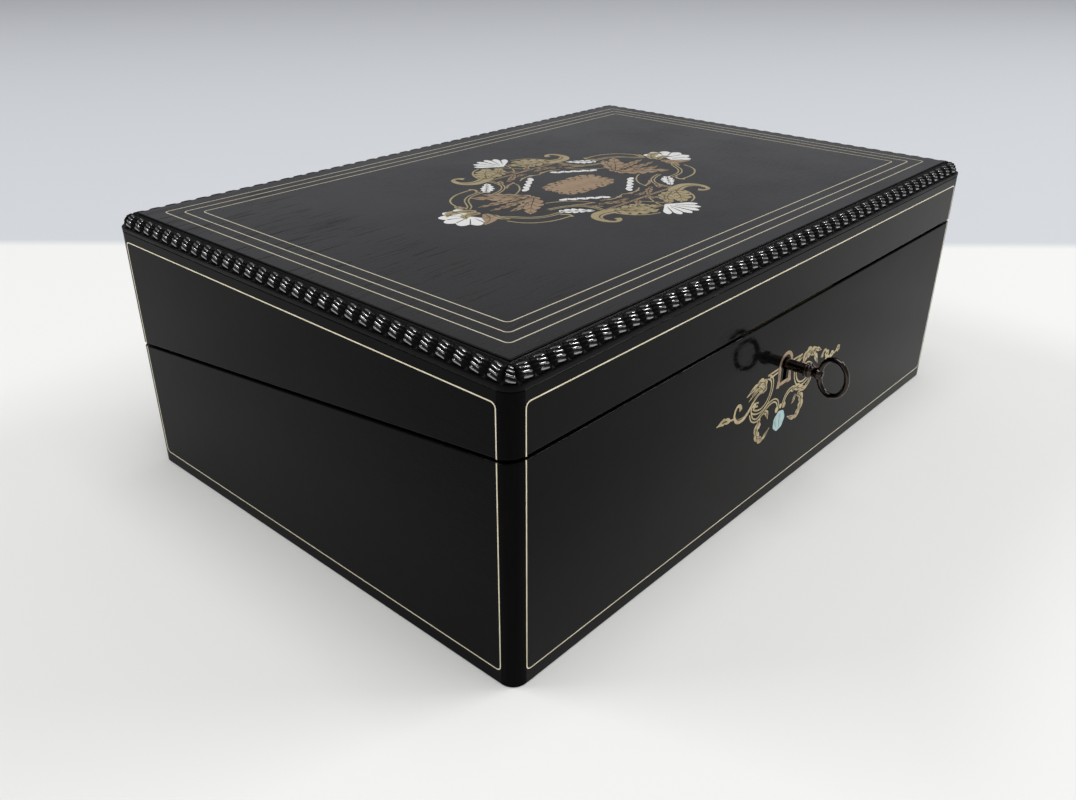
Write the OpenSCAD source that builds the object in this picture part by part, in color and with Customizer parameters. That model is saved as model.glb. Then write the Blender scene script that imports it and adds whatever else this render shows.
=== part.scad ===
// Ebonised jewelry box: a slant-split case with a hinged lid, carved moulding,
// brass, copper and pearl inlay, a lock with its key, and a lift-out tray.
// Frame: origin at the middle of the underside, +X along the lock front,
// +Y towards the hinges, +Z up.

/* [Case] */
// Width along the lock front
box_w = 300; // [280:5:330]
// Depth from the lock front to the hinge side
box_d = 206; // [196:2:220]
// Height of the closed box
box_h = 107; // [104:1:112]
// Height of the lid joint at the lock front
split_front = 80; // [78:0.5:82]
// Thickness of the wooden walls
wall = 9; // [8.5:0.5:10]
// Radius of the rounded upright corners
corner_r = 5.5; // [4:0.5:6]
// Thickness of the bottom board
bottom_t = 6; // [4:0.5:8]

/* [Ornament] */
// Width of the brass lines
line_w = 0.5; // [0.4:0.1:1]
// Height of the brass line above the table
line_low = 5.2; // [4:0.2:8]
// Distance of the upper brass line below the top
line_drop = 10.2; // [9:0.2:14]
// Width and drop of the carved moulding
moulding_s = 6.2; // [5.8:0.1:6.6]
// Length of one ripple of the moulding
ripple_pitch = 6.6; // [6:0.2:8]

/* [Tray] */
// Height of the tray's underside above the table
tray_z = 30; // [26:1:30]
// Height of the tray
tray_h = 20; // [16:1:20]
// Thickness of the tray's walls
tray_wall = 3.5; // [3:0.5:5]

/* [Lock and hinges] */
// Height of the key above the table
key_z = 57.5; // [57:0.5:58]
// Outer diameter of the key's ring
ring_d = 16.3; // [14:0.1:20]
// Length of each hinge
hinge_len = 38; // [30:2:50]
// Distance of each hinge from the middle
hinge_x = 92; // [70:2:105]

/* [Hidden] */
$fn = 48;

// Colours
ebony = [0.07, 0.07, 0.075];
brass = [0.74, 0.62, 0.36];
copper = [0.72, 0.52, 0.40];
pearl = [0.90, 0.91, 0.90];
steel = [0.30, 0.29, 0.30];
rosewood = [0.35, 0.16, 0.10];
velvet = [0.42, 0.05, 0.10];
satin = [0.60, 0.08, 0.14];

// The lid joint: a plane that falls from the lock front to half height at the
// hinges, so that the lid folds right back and lies level beside the case.
split_back = box_h / 2;
slope = (split_front - split_back) / box_d;
tilt = atan(slope);
split_gap = 0.3;
function split_z(y) = split_front - slope * (y + box_d / 2);

// Case
in_x = box_w / 2 - wall;
in_y = box_d / 2 - wall;
baize_t = 0.8;
floor_z = baize_t + bottom_t;
lining_t = 1.2;
lining_drop = 2;
pad_z = floor_z + 2.5;
soft_gap = 0.3;
line_depth = 0.5;
line_side = corner_r + 0.2;
line_top = box_h - line_drop;
line_r = 1.8;

// Lid
rail_z = box_h - moulding_s - 0.1;
veneer_t = 0.8;
veneer_z = box_h - veneer_t;
panel_x = box_w / 2 - moulding_s;
panel_y = box_d / 2 - moulding_s;
top_lines = [13.3, 18.3, 23.4];
cushion_z = 91.5;
cushion_top = rail_z - soft_gap;
cushion_x = in_x - lining_t - 4;
cushion_y = in_y - lining_t - 4;
button_r = 3.2;
button_z = 96;
button_cols = 6;
button_rows = 4;
button_dx = 2 * cushion_x / button_cols;
button_dy = 2 * cushion_y / button_rows;

// Hinges
hinge_y = box_d / 2 + 0.5;
hinge_z = split_back;
leaf_t = 1.2;
leaf_w = 8;
barrel_r = 2.6;
hinge_clear = 0.2;
pin_r = 1.1;
run_fit = 0.05;
knuckles = 5;
knuckle_len = (hinge_len - (knuckles - 1) * hinge_clear) / knuckles;
screw_head_r = 1.9;
screw_shank_r = 1;
screw_head_t = 1;
screw_len = 8;
leaf_screw_dx = 13;
leaf_screw_y = -5.2;

// Lock: distances along Y are measured from the lock front
front_y = -box_d / 2;
skin = 1.6;
plate_t = 1;
lock_back = wall;
cover_t = 1.2;
lock_half = 29;
cover_half = 33;
lock_low = 46;
cover_low = 43;
inlay_t = 0.6;
keyhole_r = 2.5;
keyhole_slot = 2.7;
keyhole_drop = 7.2;
drum_r = 3.6;
drum_flange_r = 4.6;
shank_r = 2.1;
drill_r = 0.9;
bit_r = 6.5;
bit_t = 2;
bit_room = 0.4;
bit_front = 4;
bit_back = 7;
bolt_front = 4.35;
bolt_back = 5.75;
bolt_travel = 6;
bolt_low = key_z + 5;
bolt_top = key_z + 12.5;
finger_low = key_z + 15.6;
finger_top = key_z + 17.6;
staple_x = 13;
staple_t = 1.6;
staple_w = 3.4;
staple_len = 8.2;
staple_in = 5.7;

// Tray
tray_x = in_x - lining_t - 1;
tray_y = in_y - lining_t - 1;
tray_in_x = tray_x - tray_wall;
tray_in_y = tray_y - tray_wall;
tray_bottom_t = 2;
tray_floor = tray_z + tray_bottom_t;
divider_t = 2.5;
divider_h = 14;
row_a = -27;
row_b = 31;
tray_pad_t = 1;
rolls = 5;
roll_r = 5.1;

// ---------- shared shapes ----------

// Everything below (or above) the lid joint
module below_split(drop) {
    rotate([90, 0, 90])
        linear_extrude(height = 2 * box_w, center = true)
            polygon([[-box_d, -1], [box_d, -1],
                [box_d, split_z(box_d) - drop], [-box_d, split_z(-box_d) - drop]]);
}

module above_split(rise) {
    rotate([90, 0, 90])
        linear_extrude(height = 2 * box_w, center = true)
            polygon([[-box_d, 2 * box_h], [box_d, 2 * box_h],
                [box_d, split_z(box_d) + rise], [-box_d, split_z(-box_d) + rise]]);
}

// Face 0 is the lock front, 90 the right, 180 the back, 270 the left.
// On a face, x runs along it, y goes into the wood and z is up.
function face_len(face) = face % 180 == 0 ? box_w : box_d;
function face_out(face) = face % 180 == 0 ? box_d / 2 : box_w / 2;

module on_face(face) {
    rotate(face)
        translate([0, -face_out(face), 0])
            children();
}

// Extrudes a drawing in x and z into the wood from depth y0 to depth y1
module cut_in(y0, y1) {
    translate([0, y1, 0])
        rotate([90, 0, 0])
            linear_extrude(height = y1 - y0)
                children();
}

// Lies in the joint plane, with z = 0 on it, x sideways and y towards the back
module on_split(y) {
    translate([0, y, split_z(y)])
        rotate([-tilt, 0, 0])
            children();
}

module rounded_rect(w, h, r) {
    square([w - 2 * r, h], center = true);
    square([w, h - 2 * r], center = true);
    for (x = [-1, 1])
        for (y = [-1, 1])
            translate([x * (w / 2 - r), y * (h / 2 - r)])
                circle(r);
}

module line_frame(w, h, r) {
    difference() {
        rounded_rect(w, h, r);
        rounded_rect(w - 2 * line_w, h - 2 * line_w, r - line_w);
    }
}

// Wall with mitred ends that stop at the corner strips
module wall_plan(length) {
    polygon([[-length / 2 + wall, wall], [length / 2 - wall, wall],
        [length / 2 - corner_r, corner_r], [length / 2 - corner_r, 0],
        [-length / 2 + corner_r, 0], [-length / 2 + corner_r, corner_r]]);
}

module base_wall(face) {
    intersection() {
        on_face(face)
            linear_extrude(height = split_front + 1)
                wall_plan(face_len(face));
        below_split(split_gap / 2);
    }
}

module lid_wall(face) {
    intersection() {
        on_face(face)
            translate([0, 0, split_back - 5])
                linear_extrude(height = rail_z - split_back + 5)
                    wall_plan(face_len(face));
        above_split(split_gap / 2);
    }
}

module corner_columns() {
    for (a = [0, 90, 180, 270]) {
        sx = a == 0 || a == 270 ? 1 : -1;
        sy = a < 180 ? 1 : -1;
        translate([sx * (box_w / 2 - corner_r), sy * (box_d / 2 - corner_r), 0])
            rotate(a)
                linear_extrude(height = rail_z)
                    intersection() {
                        circle(corner_r);
                        square(corner_r);
                    }
    }
}

module side_lines(face) {
    on_face(face)
        cut_in(0, line_depth)
            translate([0, (line_low + line_top) / 2])
                line_frame(face_len(face) - 2 * line_side, line_top - line_low, line_r);
}

module all_side_lines() {
    for (face = [0, 90, 180, 270])
        side_lines(face);
}

// ---------- hinges ----------

// Hinge frame: x along the pin, y towards the back, z across the joint
module at_hinges() {
    for (x = [-hinge_x, hinge_x])
        translate([x, hinge_y, hinge_z])
            rotate([-tilt, 0, 0])
                children();
}

module along_x(length, r) {
    rotate([0, 90, 0])
        cylinder(h = length, r = r, center = true);
}

module knuckle_row(first, r, extra) {
    for (i = [first:2:knuckles - 1])
        translate([-hinge_len / 2 + knuckle_len / 2 + i * (knuckle_len + hinge_clear), 0, 0])
            along_x(knuckle_len + extra, r);
}

// side is -1 for the base leaf and 1 for the lid leaf
module leaf(side) {
    difference() {
        union() {
            difference() {
                translate([-hinge_len / 2, -leaf_w, side < 0 ? -split_gap / 2 - leaf_t : split_gap / 2])
                    cube([hinge_len, leaf_w, leaf_t]);
                knuckle_row(side < 0 ? 1 : 0, barrel_r + hinge_clear, 2 * hinge_clear);
            }
            knuckle_row(side < 0 ? 0 : 1, barrel_r, 0);
        }
        along_x(hinge_len + 1, side < 0 ? pin_r : pin_r + run_fit);
        leaf_screws(side);
    }
}

// Room in the walls for a leaf and for the knuckles
module leaf_recess(side) {
    translate([-hinge_len / 2, -leaf_w, side < 0 ? -split_gap / 2 - leaf_t : -1])
        cube([hinge_len, leaf_w, leaf_t + split_gap / 2 + 1]);
    along_x(hinge_len + 2 * hinge_clear, barrel_r + hinge_clear);
}

module wood_screw(head_r, shank_r, head_t, length) {
    cylinder(h = head_t, r1 = head_r, r2 = shank_r);
    cylinder(h = length, r = shank_r);
}

module leaf_screws(side) {
    for (x = [-leaf_screw_dx, 0, leaf_screw_dx])
        translate([x, leaf_screw_y, side * split_gap / 2])
            mirror([0, 0, side < 0 ? 1 : 0])
                wood_screw(screw_head_r, screw_shank_r, screw_head_t, screw_len);
}

// ---------- inlay drawings ----------

// Part of a ring from angle a0 to a1, under half a turn
module arc_band(r, w, a0, a1) {
    reach = 2 * r + 2 * w;
    mid = (a0 + a1) / 2;
    intersection() {
        difference() {
            circle(r + w / 2);
            circle(r - w / 2);
        }
        polygon([[0, 0], [reach * cos(a0), reach * sin(a0)],
            [reach * cos(mid), reach * sin(mid)], [reach * cos(a1), reach * sin(a1)]]);
    }
}

module both_ways() {
    for (x = [0, 1])
        mirror([x, 0])
            children();
}

module four_ways() {
    for (x = [0, 1])
        for (y = [0, 1])
            mirror([x, 0])
                mirror([0, y])
                    children();
}

// Shell fan of lobes that opens along +x
module fan(r) {
    for (a = [-60:30:60])
        rotate(a)
            translate([r * 0.62, 0])
                circle(r * 0.30);
    circle(r * 0.58);
}

module copper_plan() {
    polygon([[-20.9, 0], [-14, 7.5], [-8, 11.2], [0, 10], [8, 11.2], [14, 7.5],
        [20.9, 0], [14, -7.5], [8, -11.2], [0, -10], [-8, -11.2], [-14, -7.5]]);
    both_ways()
        polygon([[-26.2, 1], [-31, 5], [-33, 10], [-40, 15.5], [-45, 16], [-44, 10],
            [-52, 6], [-46, 3], [-52.7, 0], [-44, -3], [-45.5, -8], [-44, -14.5],
            [-38, -12.5], [-33, -8], [-30, -3]]);
}

module pearl_plan() {
    both_ways()
        translate([-66.8, 0])
            mirror([1, 0])
                fan(9.4);
    for (a = [90, 270])
        rotate(a)
            translate([50, 0])
                fan(9.4);
    four_ways() {
        polygon([[-23, 8], [-22.4, 10], [-14, 14.4], [-7, 20.8], [-5.8, 19.4], [-13, 12.6]]);
        polygon([[-35, 19], [-32, 18], [-27, 22], [-25, 27.5], [-29, 26.5], [-33, 23.5]]);
    }
}

module brass_plan() {
    four_ways() {
        translate([-12, 43])
            difference() {
                circle(8.4);
                translate([3.4, -3.4])
                    circle(6.6);
                translate([8, 6.8])
                    circle(9.6);
            }
        translate([-27, 39])
            arc_band(5.4, 2.2, 100, 260);
        polygon([[-27.6, 32.6], [-25.6, 34.6], [-19.4, 38], [-17, 35.6], [-24, 31.8]]);
        translate([-38, 8])
            arc_band(18.6, 1, 95, 165);
        polygon([[-55.6, 9.8], [-52.6, 5.8], [-56, 3], [-56.4, 7]]);
    }
    for (y = [-30.6, 30.6])
        translate([0, y])
            square([40, 1.6], center = true);
}

// Escutcheon drawings: origin at the key's axis, y up
module escutcheon_plan() {
    both_ways() {
        translate([-16, -7.5])
            arc_band(9, 2, -60, 100);
        translate([-27, -8.6])
            arc_band(6.6, 3, 40, 190);
        polygon([[-47, -9.5], [-43, -7], [-39, -9.5], [-43, -12]]);
        translate([-9, -24])
            arc_band(6.5, 1.8, 20, 150);
        translate([-16, -30])
            arc_band(6, 2.6, 150, 310);
    }
}

module keyhole_plan(grow) {
    circle(keyhole_r + grow);
    translate([-keyhole_slot / 2 - grow, -keyhole_drop - grow])
        square([keyhole_slot + 2 * grow, keyhole_drop]);
}

module keyhole_frame_plan() {
    difference() {
        union() {
            circle(4.4);
            translate([-5.4, -9.6])
                square([10.8, 8]);
        }
        keyhole_plan(0);
    }
}

module drop_plan() {
    translate([0, -26.6])
        circle(4.6);
}

module at_key() {
    translate([0, key_z])
        children();
}

// ---------- lock ----------

module lock_pocket() {
    on_face(0) {
        translate([-lock_half, skin, lock_low])
            cube([2 * lock_half, lock_back - cover_t - skin, box_h]);
        translate([-cover_half, lock_back - cover_t, cover_low])
            cube([2 * cover_half, cover_t + 1, box_h]);
    }
    selvedge(0, 2);
}

// Plate in the rim over the lock, from the skin to the inner face
module selvedge(down, up) {
    intersection() {
        on_face(0)
            translate([-cover_half, skin, lock_low])
                cube([2 * cover_half, lock_back - skin + down, box_h]);
        above_split(-split_gap / 2 - cover_t);
        below_split(-up);
    }
}

module at_staples() {
    for (x = [-staple_x, staple_x])
        on_split(front_y + staple_in)
            translate([x, 0, 0])
                children();
}

module striker_blank() {
    on_split(front_y + staple_in)
        translate([-25, -2.9, split_gap / 2])
            cube([50, 5.8, leaf_t]);
}

module striker_screw_set() {
    for (x = [-20, 20])
        on_split(front_y + staple_in)
            translate([x, 0, split_gap / 2])
                wood_screw(1.7, 0.9, 1, 8);
}

module cover_screw_set() {
    for (x = [-31, 31])
        for (z = [50, 68])
            on_face(0)
                translate([x, lock_back, z])
                    rotate([90, 0, 0])
                        wood_screw(1.6, 0.8, 0.9, 5);
}

module around_key(from, to, r) {
    on_face(0)
        translate([0, to, key_z])
            rotate([90, 0, 0])
                cylinder(h = to - from, r = r);
}

// ---------- case nodes ----------

module base_front() {
    color(ebony)
        difference() {
            base_wall(0);
            side_lines(0);
            lock_pocket();
            cover_screw_set();
            on_face(0) {
                cut_in(-1, skin + 1)
                    at_key()
                        keyhole_plan(0);
                cut_in(-1, inlay_t)
                    at_key() {
                        keyhole_frame_plan();
                        drop_plan();
                        escutcheon_plan();
                    }
            }
        }
}

module base_back() {
    color(ebony)
        difference() {
            base_wall(180);
            side_lines(180);
            at_hinges() {
                leaf_recess(-1);
                leaf_screws(-1);
            }
        }
}

module base_left() {
    color(ebony)
        difference() {
            base_wall(270);
            side_lines(270);
        }
}

module base_right() {
    color(ebony)
        difference() {
            base_wall(90);
            side_lines(90);
        }
}

module base_corner_strips() {
    color(ebony)
        intersection() {
            corner_columns();
            below_split(split_gap / 2);
        }
}

module base_stringing() {
    color(brass)
        difference() {
            intersection() {
                all_side_lines();
                below_split(split_gap / 2);
            }
            at_hinges()
                leaf_recess(-1);
        }
}

module base_bottom() {
    color(rosewood)
        translate([-in_x, -in_y, baize_t])
            cube([2 * in_x, 2 * in_y, bottom_t]);
}

module bottom_baize() {
    color([0.10, 0.22, 0.14])
        translate([-in_x, -in_y, 0])
            cube([2 * in_x, 2 * in_y, baize_t]);
}

module base_lining() {
    color(velvet)
        difference() {
            intersection() {
                translate([-in_x, -in_y, floor_z])
                    cube([2 * in_x, 2 * in_y, box_h]);
                below_split(lining_drop);
            }
            translate([-in_x + lining_t, -in_y + lining_t, 0])
                cube([2 * (in_x - lining_t), 2 * (in_y - lining_t), box_h]);
            on_face(0)
                translate([-cover_half - 0.5, wall - 1, cover_low - 0.5])
                    cube([2 * cover_half + 1, lining_t + 2, box_h]);
        }
}

module base_floor_pad() {
    color(velvet)
        translate([-in_x + lining_t + soft_gap, -in_y + lining_t + soft_gap, floor_z])
            cube([2 * (in_x - lining_t - soft_gap), 2 * (in_y - lining_t - soft_gap), pad_z - floor_z]);
}

module tray_ledges() {
    color(rosewood)
        for (s = [-1, 1])
            translate([s * (in_x - lining_t - 3), 0, tray_z - 4])
                cube([6, 2 * tray_y - 4, 8], center = true);
}

// ---------- lid nodes ----------

module lid_front() {
    color(ebony)
        difference() {
            lid_wall(0);
            side_lines(0);
            striker_blank();
            striker_screw_set();
        }
}

module lid_back() {
    color(ebony)
        difference() {
            lid_wall(180);
            side_lines(180);
            at_hinges() {
                leaf_recess(1);
                leaf_screws(1);
            }
        }
}

module lid_left() {
    color(ebony)
        difference() {
            lid_wall(270);
            side_lines(270);
        }
}

module lid_right() {
    color(ebony)
        difference() {
            lid_wall(90);
            side_lines(90);
        }
}

module lid_corner_strips() {
    color(ebony)
        intersection() {
            corner_columns();
            above_split(split_gap / 2);
        }
}

module lid_side_stringing() {
    color(brass)
        difference() {
            intersection() {
                all_side_lines();
                above_split(split_gap / 2);
            }
            at_hinges()
                leaf_recess(1);
        }
}

module lid_top_board() {
    color(rosewood)
        translate([-panel_x, -panel_y, rail_z])
            cube([2 * panel_x, 2 * panel_y, veneer_z - rail_z]);
}

module top_lines_solid() {
    for (inset = top_lines)
        translate([0, 0, box_h - line_depth])
            linear_extrude(height = line_depth)
                line_frame(box_w - 2 * inset, box_d - 2 * inset, line_r);
}

module lid_top_veneer() {
    color(ebony)
        difference() {
            translate([-panel_x, -panel_y, veneer_z])
                cube([2 * panel_x, 2 * panel_y, veneer_t]);
            top_lines_solid();
            translate([0, 0, veneer_z - 1])
                linear_extrude(height = veneer_t + 2) {
                    copper_plan();
                    pearl_plan();
                    brass_plan();
                }
        }
}

module lid_top_stringing() {
    color(brass)
        top_lines_solid();
}

// Moulding bar: a fillet, a rippled bead and a cove beside the top panel
module moulding(face) {
    s = moulding_s;
    ripples = floor((face_len(face) - 2 * s) / ripple_pitch);
    color(ebony)
        intersection() {
            difference() {
                on_face(face)
                    rotate([90, 0, 90])
                        linear_extrude(height = face_len(face), center = true)
                            moulding_profile();
                on_face(face)
                    for (i = [1:ripples - 1])
                        translate([(i - ripples / 2) * ripple_pitch, 1.8, rail_z + 4.4])
                            rotate([-45, 0, 0])
                                translate([0, 0, -4])
                                    cylinder(h = 8, r = 0.8, $fn = 16);
            }
            on_face(face)
                linear_extrude(height = 2 * box_h)
                    polygon([[-face_len(face) / 2, 0], [face_len(face) / 2, 0],
                        [face_len(face) / 2 - s, s], [-face_len(face) / 2 + s, s]]);
            linear_extrude(height = 2 * box_h)
                rounded_rect(box_w, box_d, corner_r);
        }
}

// Depth into the face against height: a fillet, a round bead and a cove
module moulding_profile() {
    s = moulding_s;
    steps = 8;
    bead = 4.9;
    polygon(concat(
        [[s, rail_z], [0, rail_z], [0, rail_z + 1.6]],
        [for (i = [0:steps]) let (a = 172 - 74 * i / steps)
            [s - 1 + bead * cos(a), rail_z + 0.9 + bead * sin(a)]],
        [[s - 1.2, box_h - 1.4], [s, box_h - 1.4]]));
}

module moulding_front() {
    moulding(0);
}

module moulding_back() {
    moulding(180);
}

module moulding_left() {
    moulding(270);
}

module moulding_right() {
    moulding(90);
}

module in_veneer() {
    translate([0, 0, veneer_z])
        linear_extrude(height = veneer_t)
            children();
}

module inlay_brass() {
    color(brass)
        in_veneer()
            difference() {
                brass_plan();
                copper_plan();
                pearl_plan();
            }
}

module inlay_copper() {
    color(copper)
        in_veneer()
            difference() {
                copper_plan();
                pearl_plan();
            }
}

module inlay_pearl() {
    color(pearl)
        in_veneer()
            pearl_plan();
}

module lid_lining() {
    color(velvet)
        difference() {
            intersection() {
                translate([-in_x, -in_y, 0])
                    cube([2 * in_x, 2 * in_y, rail_z]);
                above_split(lining_drop);
            }
            translate([-in_x + lining_t, -in_y + lining_t, -1])
                cube([2 * (in_x - lining_t), 2 * (in_y - lining_t), box_h + 2]);
        }
}

// Button places: a staggered grid inside the cushion's edge
module at_buttons() {
    for (row = [1:button_rows - 1])
        for (col = [0:button_cols - 1])
            if (row % 2 == 1 || col > 0)
                translate([-cushion_x + (col + (row % 2) / 2) * button_dx,
                    -cushion_y + row * button_dy, 0])
                    children();
}

module lid_pad() {
    color(satin)
        difference() {
            translate([-cushion_x, -cushion_y, cushion_z])
                cube([2 * cushion_x, 2 * cushion_y, cushion_top - cushion_z]);
            at_buttons()
                translate([0, 0, cushion_z - 1])
                    cylinder(h = button_z + 1.5 - cushion_z + 1, r = button_r + 2);
        }
}

module lid_pad_braid() {
    color([0.72, 0.60, 0.34])
        translate([0, 0, cushion_top - 3])
            linear_extrude(height = 3)
                difference() {
                    square([2 * cushion_x + 7, 2 * cushion_y + 7], center = true);
                    square([2 * cushion_x + 1, 2 * cushion_y + 1], center = true);
                }
}

module lid_pad_buttons() {
    color(satin)
        at_buttons()
            translate([0, 0, button_z])
                cylinder(h = 1.5, r = button_r);
}

// ---------- escutcheon ----------

module escutcheon_brass() {
    color(brass)
        on_face(0)
            cut_in(0, inlay_t)
                at_key()
                    difference() {
                        escutcheon_plan();
                        keyhole_frame_plan();
                        drop_plan();
                    }
}

module keyhole_frame() {
    color(copper)
        on_face(0)
            cut_in(0, inlay_t)
                at_key()
                    keyhole_frame_plan();
}

module escutcheon_pearl() {
    color([0.62, 0.80, 0.78])
        on_face(0)
            cut_in(0, inlay_t)
                at_key()
                    drop_plan();
}

// ---------- hinge nodes ----------

module hinge_base_leaves() {
    color(brass)
        at_hinges()
            leaf(-1);
}

module hinge_lid_leaves() {
    color(brass)
        at_hinges()
            leaf(1);
}

module hinge_pins() {
    color(steel)
        at_hinges()
            along_x(hinge_len, pin_r);
}

module hinge_base_screws() {
    color(brass)
        at_hinges()
            leaf_screws(-1);
}

module hinge_lid_screws() {
    color(brass)
        at_hinges()
            leaf_screws(1);
}

// ---------- lock nodes ----------

module lock_case() {
    gap_end = lock_back - cover_t;
    color(brass)
        difference() {
            union() {
                intersection() {
                    on_face(0)
                        difference() {
                            translate([-lock_half, skin, lock_low])
                                cube([2 * lock_half, gap_end - skin, box_h]);
                            translate([-lock_half + plate_t, skin + plate_t, lock_low + plate_t])
                                cube([2 * (lock_half - plate_t), wall, box_h]);
                        }
                    below_split(split_gap / 2 + cover_t);
                }
                selvedge(0, -split_gap / 2);
                on_face(0)
                    translate([-7, bolt_back, key_z + 17.65])
                        rotate([90, 0, 0])
                            cylinder(h = bolt_back - skin - plate_t / 2, r = 0.7);
            }
            around_key(skin - 1, skin + plate_t + 1, drum_r + run_fit);
            on_face(0)
                translate([-bit_t / 2 - bit_room, skin - 1, key_z - bit_r - bit_room])
                    cube([bit_t + 2 * bit_room, plate_t + 2, bit_r]);
            at_staples()
                cube([staple_t + 0.8, staple_w + 0.8, 6], center = true);
        }
}

module lock_cover() {
    color(brass)
        difference() {
            intersection() {
                on_face(0)
                    translate([-cover_half, lock_back - cover_t, cover_low])
                        cube([2 * cover_half, cover_t, box_h]);
                below_split(split_gap / 2 + cover_t);
            }
            cover_screw_set();
            around_key(0, wall + 1, drill_r);
        }
}

module lock_drill_pin() {
    color(steel)
        around_key(skin + 0.5, lock_back, drill_r);
}

module lock_screws() {
    color(steel)
        cover_screw_set();
}

module lock_spring() {
    top = key_z + 18.9;
    tip = bolt_top + 0.2;
    color(steel)
        on_face(0)
            cut_in(bolt_front + 0.2, bolt_back - 0.2)
                polygon([[-8, top], [0.4, top], [-4.6, tip + 0.3], [-4.9, tip],
                    [-5.5, tip + 0.3], [-0.7, top - 0.5], [-8, top - 0.5]]);
}

module lock_bolt() {
    talon = 5.8;
    shift = bolt_travel / 2;
    color(brass)
        on_face(0)
            cut_in(bolt_front, bolt_back)
                polygon([[-25, bolt_low], [-shift - talon, bolt_low],
                    [-shift - talon, key_z + bit_r + 0.5], [-shift + talon, key_z + bit_r + 0.5],
                    [-shift + talon, bolt_low], [12, bolt_low], [12, bolt_top],
                    [5, bolt_top], [5, finger_low], [11.2, finger_low], [11.2, finger_top],
                    [1, finger_top], [1, bolt_top], [-21, bolt_top], [-21, finger_low],
                    [-14.8, finger_low], [-14.8, finger_top], [-25, finger_top]]);
}

module lock_barrel() {
    color(brass)
        difference() {
            union() {
                around_key(skin, lock_back - cover_t - 0.2, drum_r);
                around_key(skin + plate_t + 0.5, skin + plate_t + 1.3, drum_flange_r);
            }
            around_key(0, wall, shank_r + run_fit);
            on_face(0)
                translate([-bit_t / 2 - 0.15, 0, key_z - 6])
                    cube([bit_t + 0.3, wall, 6]);
        }
}

module striker_plate() {
    color(brass)
        difference() {
            union() {
                striker_blank();
                at_staples()
                    translate([-staple_t / 2, -staple_w / 2, -staple_len])
                        cube([staple_t, staple_w, staple_len + split_gap]);
            }
            at_staples()
                translate([-2, -1, -6.8])
                    cube([4, 2, 3.1]);
            striker_screw_set();
        }
}

module striker_screws() {
    color(brass)
        striker_screw_set();
}

// Turned shank: radius against distance from the tip, along the key
module shank_profile() {
    polygon([[0, 0], [1.9, 0], [shank_r, 0.3], [shank_r, 12.2], [2.7, 12.5], [2.85, 13],
        [2.7, 13.5], [2.25, 13.8], [2.7, 14.2], [2.6, 14.8], [2.1, 15.2], [1.8, 18.4], [0, 18.4]]);
}

module key() {
    tube_r = 1.15;
    ring_r = ring_d / 2 - tube_r;
    tip = lock_back - cover_t - 0.4;
    ring_y = tip - 17.6 - ring_r;
    color(steel)
        difference() {
            union() {
                on_face(0)
                    translate([0, tip, key_z])
                        rotate([90, 0, 0])
                            rotate_extrude()
                                shank_profile();
                on_face(0)
                    translate([0, ring_y, key_z])
                        rotate([0, 90, 0])
                            rotate_extrude()
                                translate([ring_r, 0])
                                    circle(tube_r, $fn = 32);
                on_face(0)
                    difference() {
                        translate([-bit_t / 2, bit_front, key_z - bit_r])
                            cube([bit_t, bit_back - bit_front, bit_r - 1]);
                        translate([-2, bit_front + 1.2, key_z - bit_r - 1])
                            cube([4, 0.6, 3]);
                    }
            }
            around_key(skin, wall, drill_r + run_fit);
        }
}

// ---------- tray nodes ----------

module tray_frame() {
    color(rosewood)
        translate([0, 0, tray_z]) {
            for (s = [-1, 1]) {
                translate([-tray_x, s * (tray_y - tray_wall / 2) - tray_wall / 2, 0])
                    cube([2 * tray_x, tray_wall, tray_h]);
                translate([s * (tray_x - tray_wall / 2) - tray_wall / 2, -tray_in_y, 0])
                    cube([tray_wall, 2 * tray_in_y, tray_h]);
            }
        }
}

module tray_bottom() {
    color(rosewood)
        translate([-tray_in_x, -tray_in_y, tray_z])
            cube([2 * tray_in_x, 2 * tray_in_y, tray_bottom_t]);
}

// Compartment rows as [low y, high y, compartments]
tray_rows = [[-tray_in_y, row_a - divider_t / 2, 4], [row_a + divider_t / 2, row_b - divider_t / 2, 3]];

module tray_dividers() {
    color(rosewood)
        translate([0, 0, tray_floor]) {
            for (y = [row_a, row_b])
                translate([-tray_in_x, y - divider_t / 2, 0])
                    cube([2 * tray_in_x, divider_t, divider_h]);
            for (row = tray_rows)
                for (i = [1:row[2] - 1])
                    translate([-tray_in_x + i * 2 * tray_in_x / row[2] - divider_t / 2, row[0], 0])
                        cube([divider_t, row[1] - row[0], divider_h]);
        }
}

module tray_pads() {
    edge = soft_gap;
    color(velvet)
        for (row = tray_rows)
            for (i = [0:row[2] - 1]) {
                step = 2 * tray_in_x / row[2];
                left = -tray_in_x + i * step + (i > 0 ? divider_t / 2 : 0) + edge;
                right = -tray_in_x + (i + 1) * step - (i < row[2] - 1 ? divider_t / 2 : 0) - edge;
                translate([left, row[0] + edge, tray_floor])
                    cube([right - left, row[1] - row[0] - 2 * edge, tray_pad_t]);
            }
}

module ring_rolls() {
    first = row_b + divider_t / 2;
    pitch = (tray_in_y - first) / rolls;
    color(velvet)
        for (i = [0:rolls - 1])
            translate([0, first + (i + 0.5) * pitch, tray_floor + roll_r + 0.1])
                along_x(2 * tray_in_x - 2, roll_r);
}

module tray_knobs() {
    color(brass)
        for (s = [-1, 1])
            translate([s * (tray_x - tray_wall / 2), 0, tray_z + tray_h])
                rotate_extrude()
                    polygon([[0, 0], [1.6, 0], [1.6, 0.5], [0.9, 1], [0.9, 2.4], [1.9, 3.2],
                        [2.1, 4.1], [1.7, 5], [0.8, 5.4], [0, 5.5]]);
}

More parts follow.
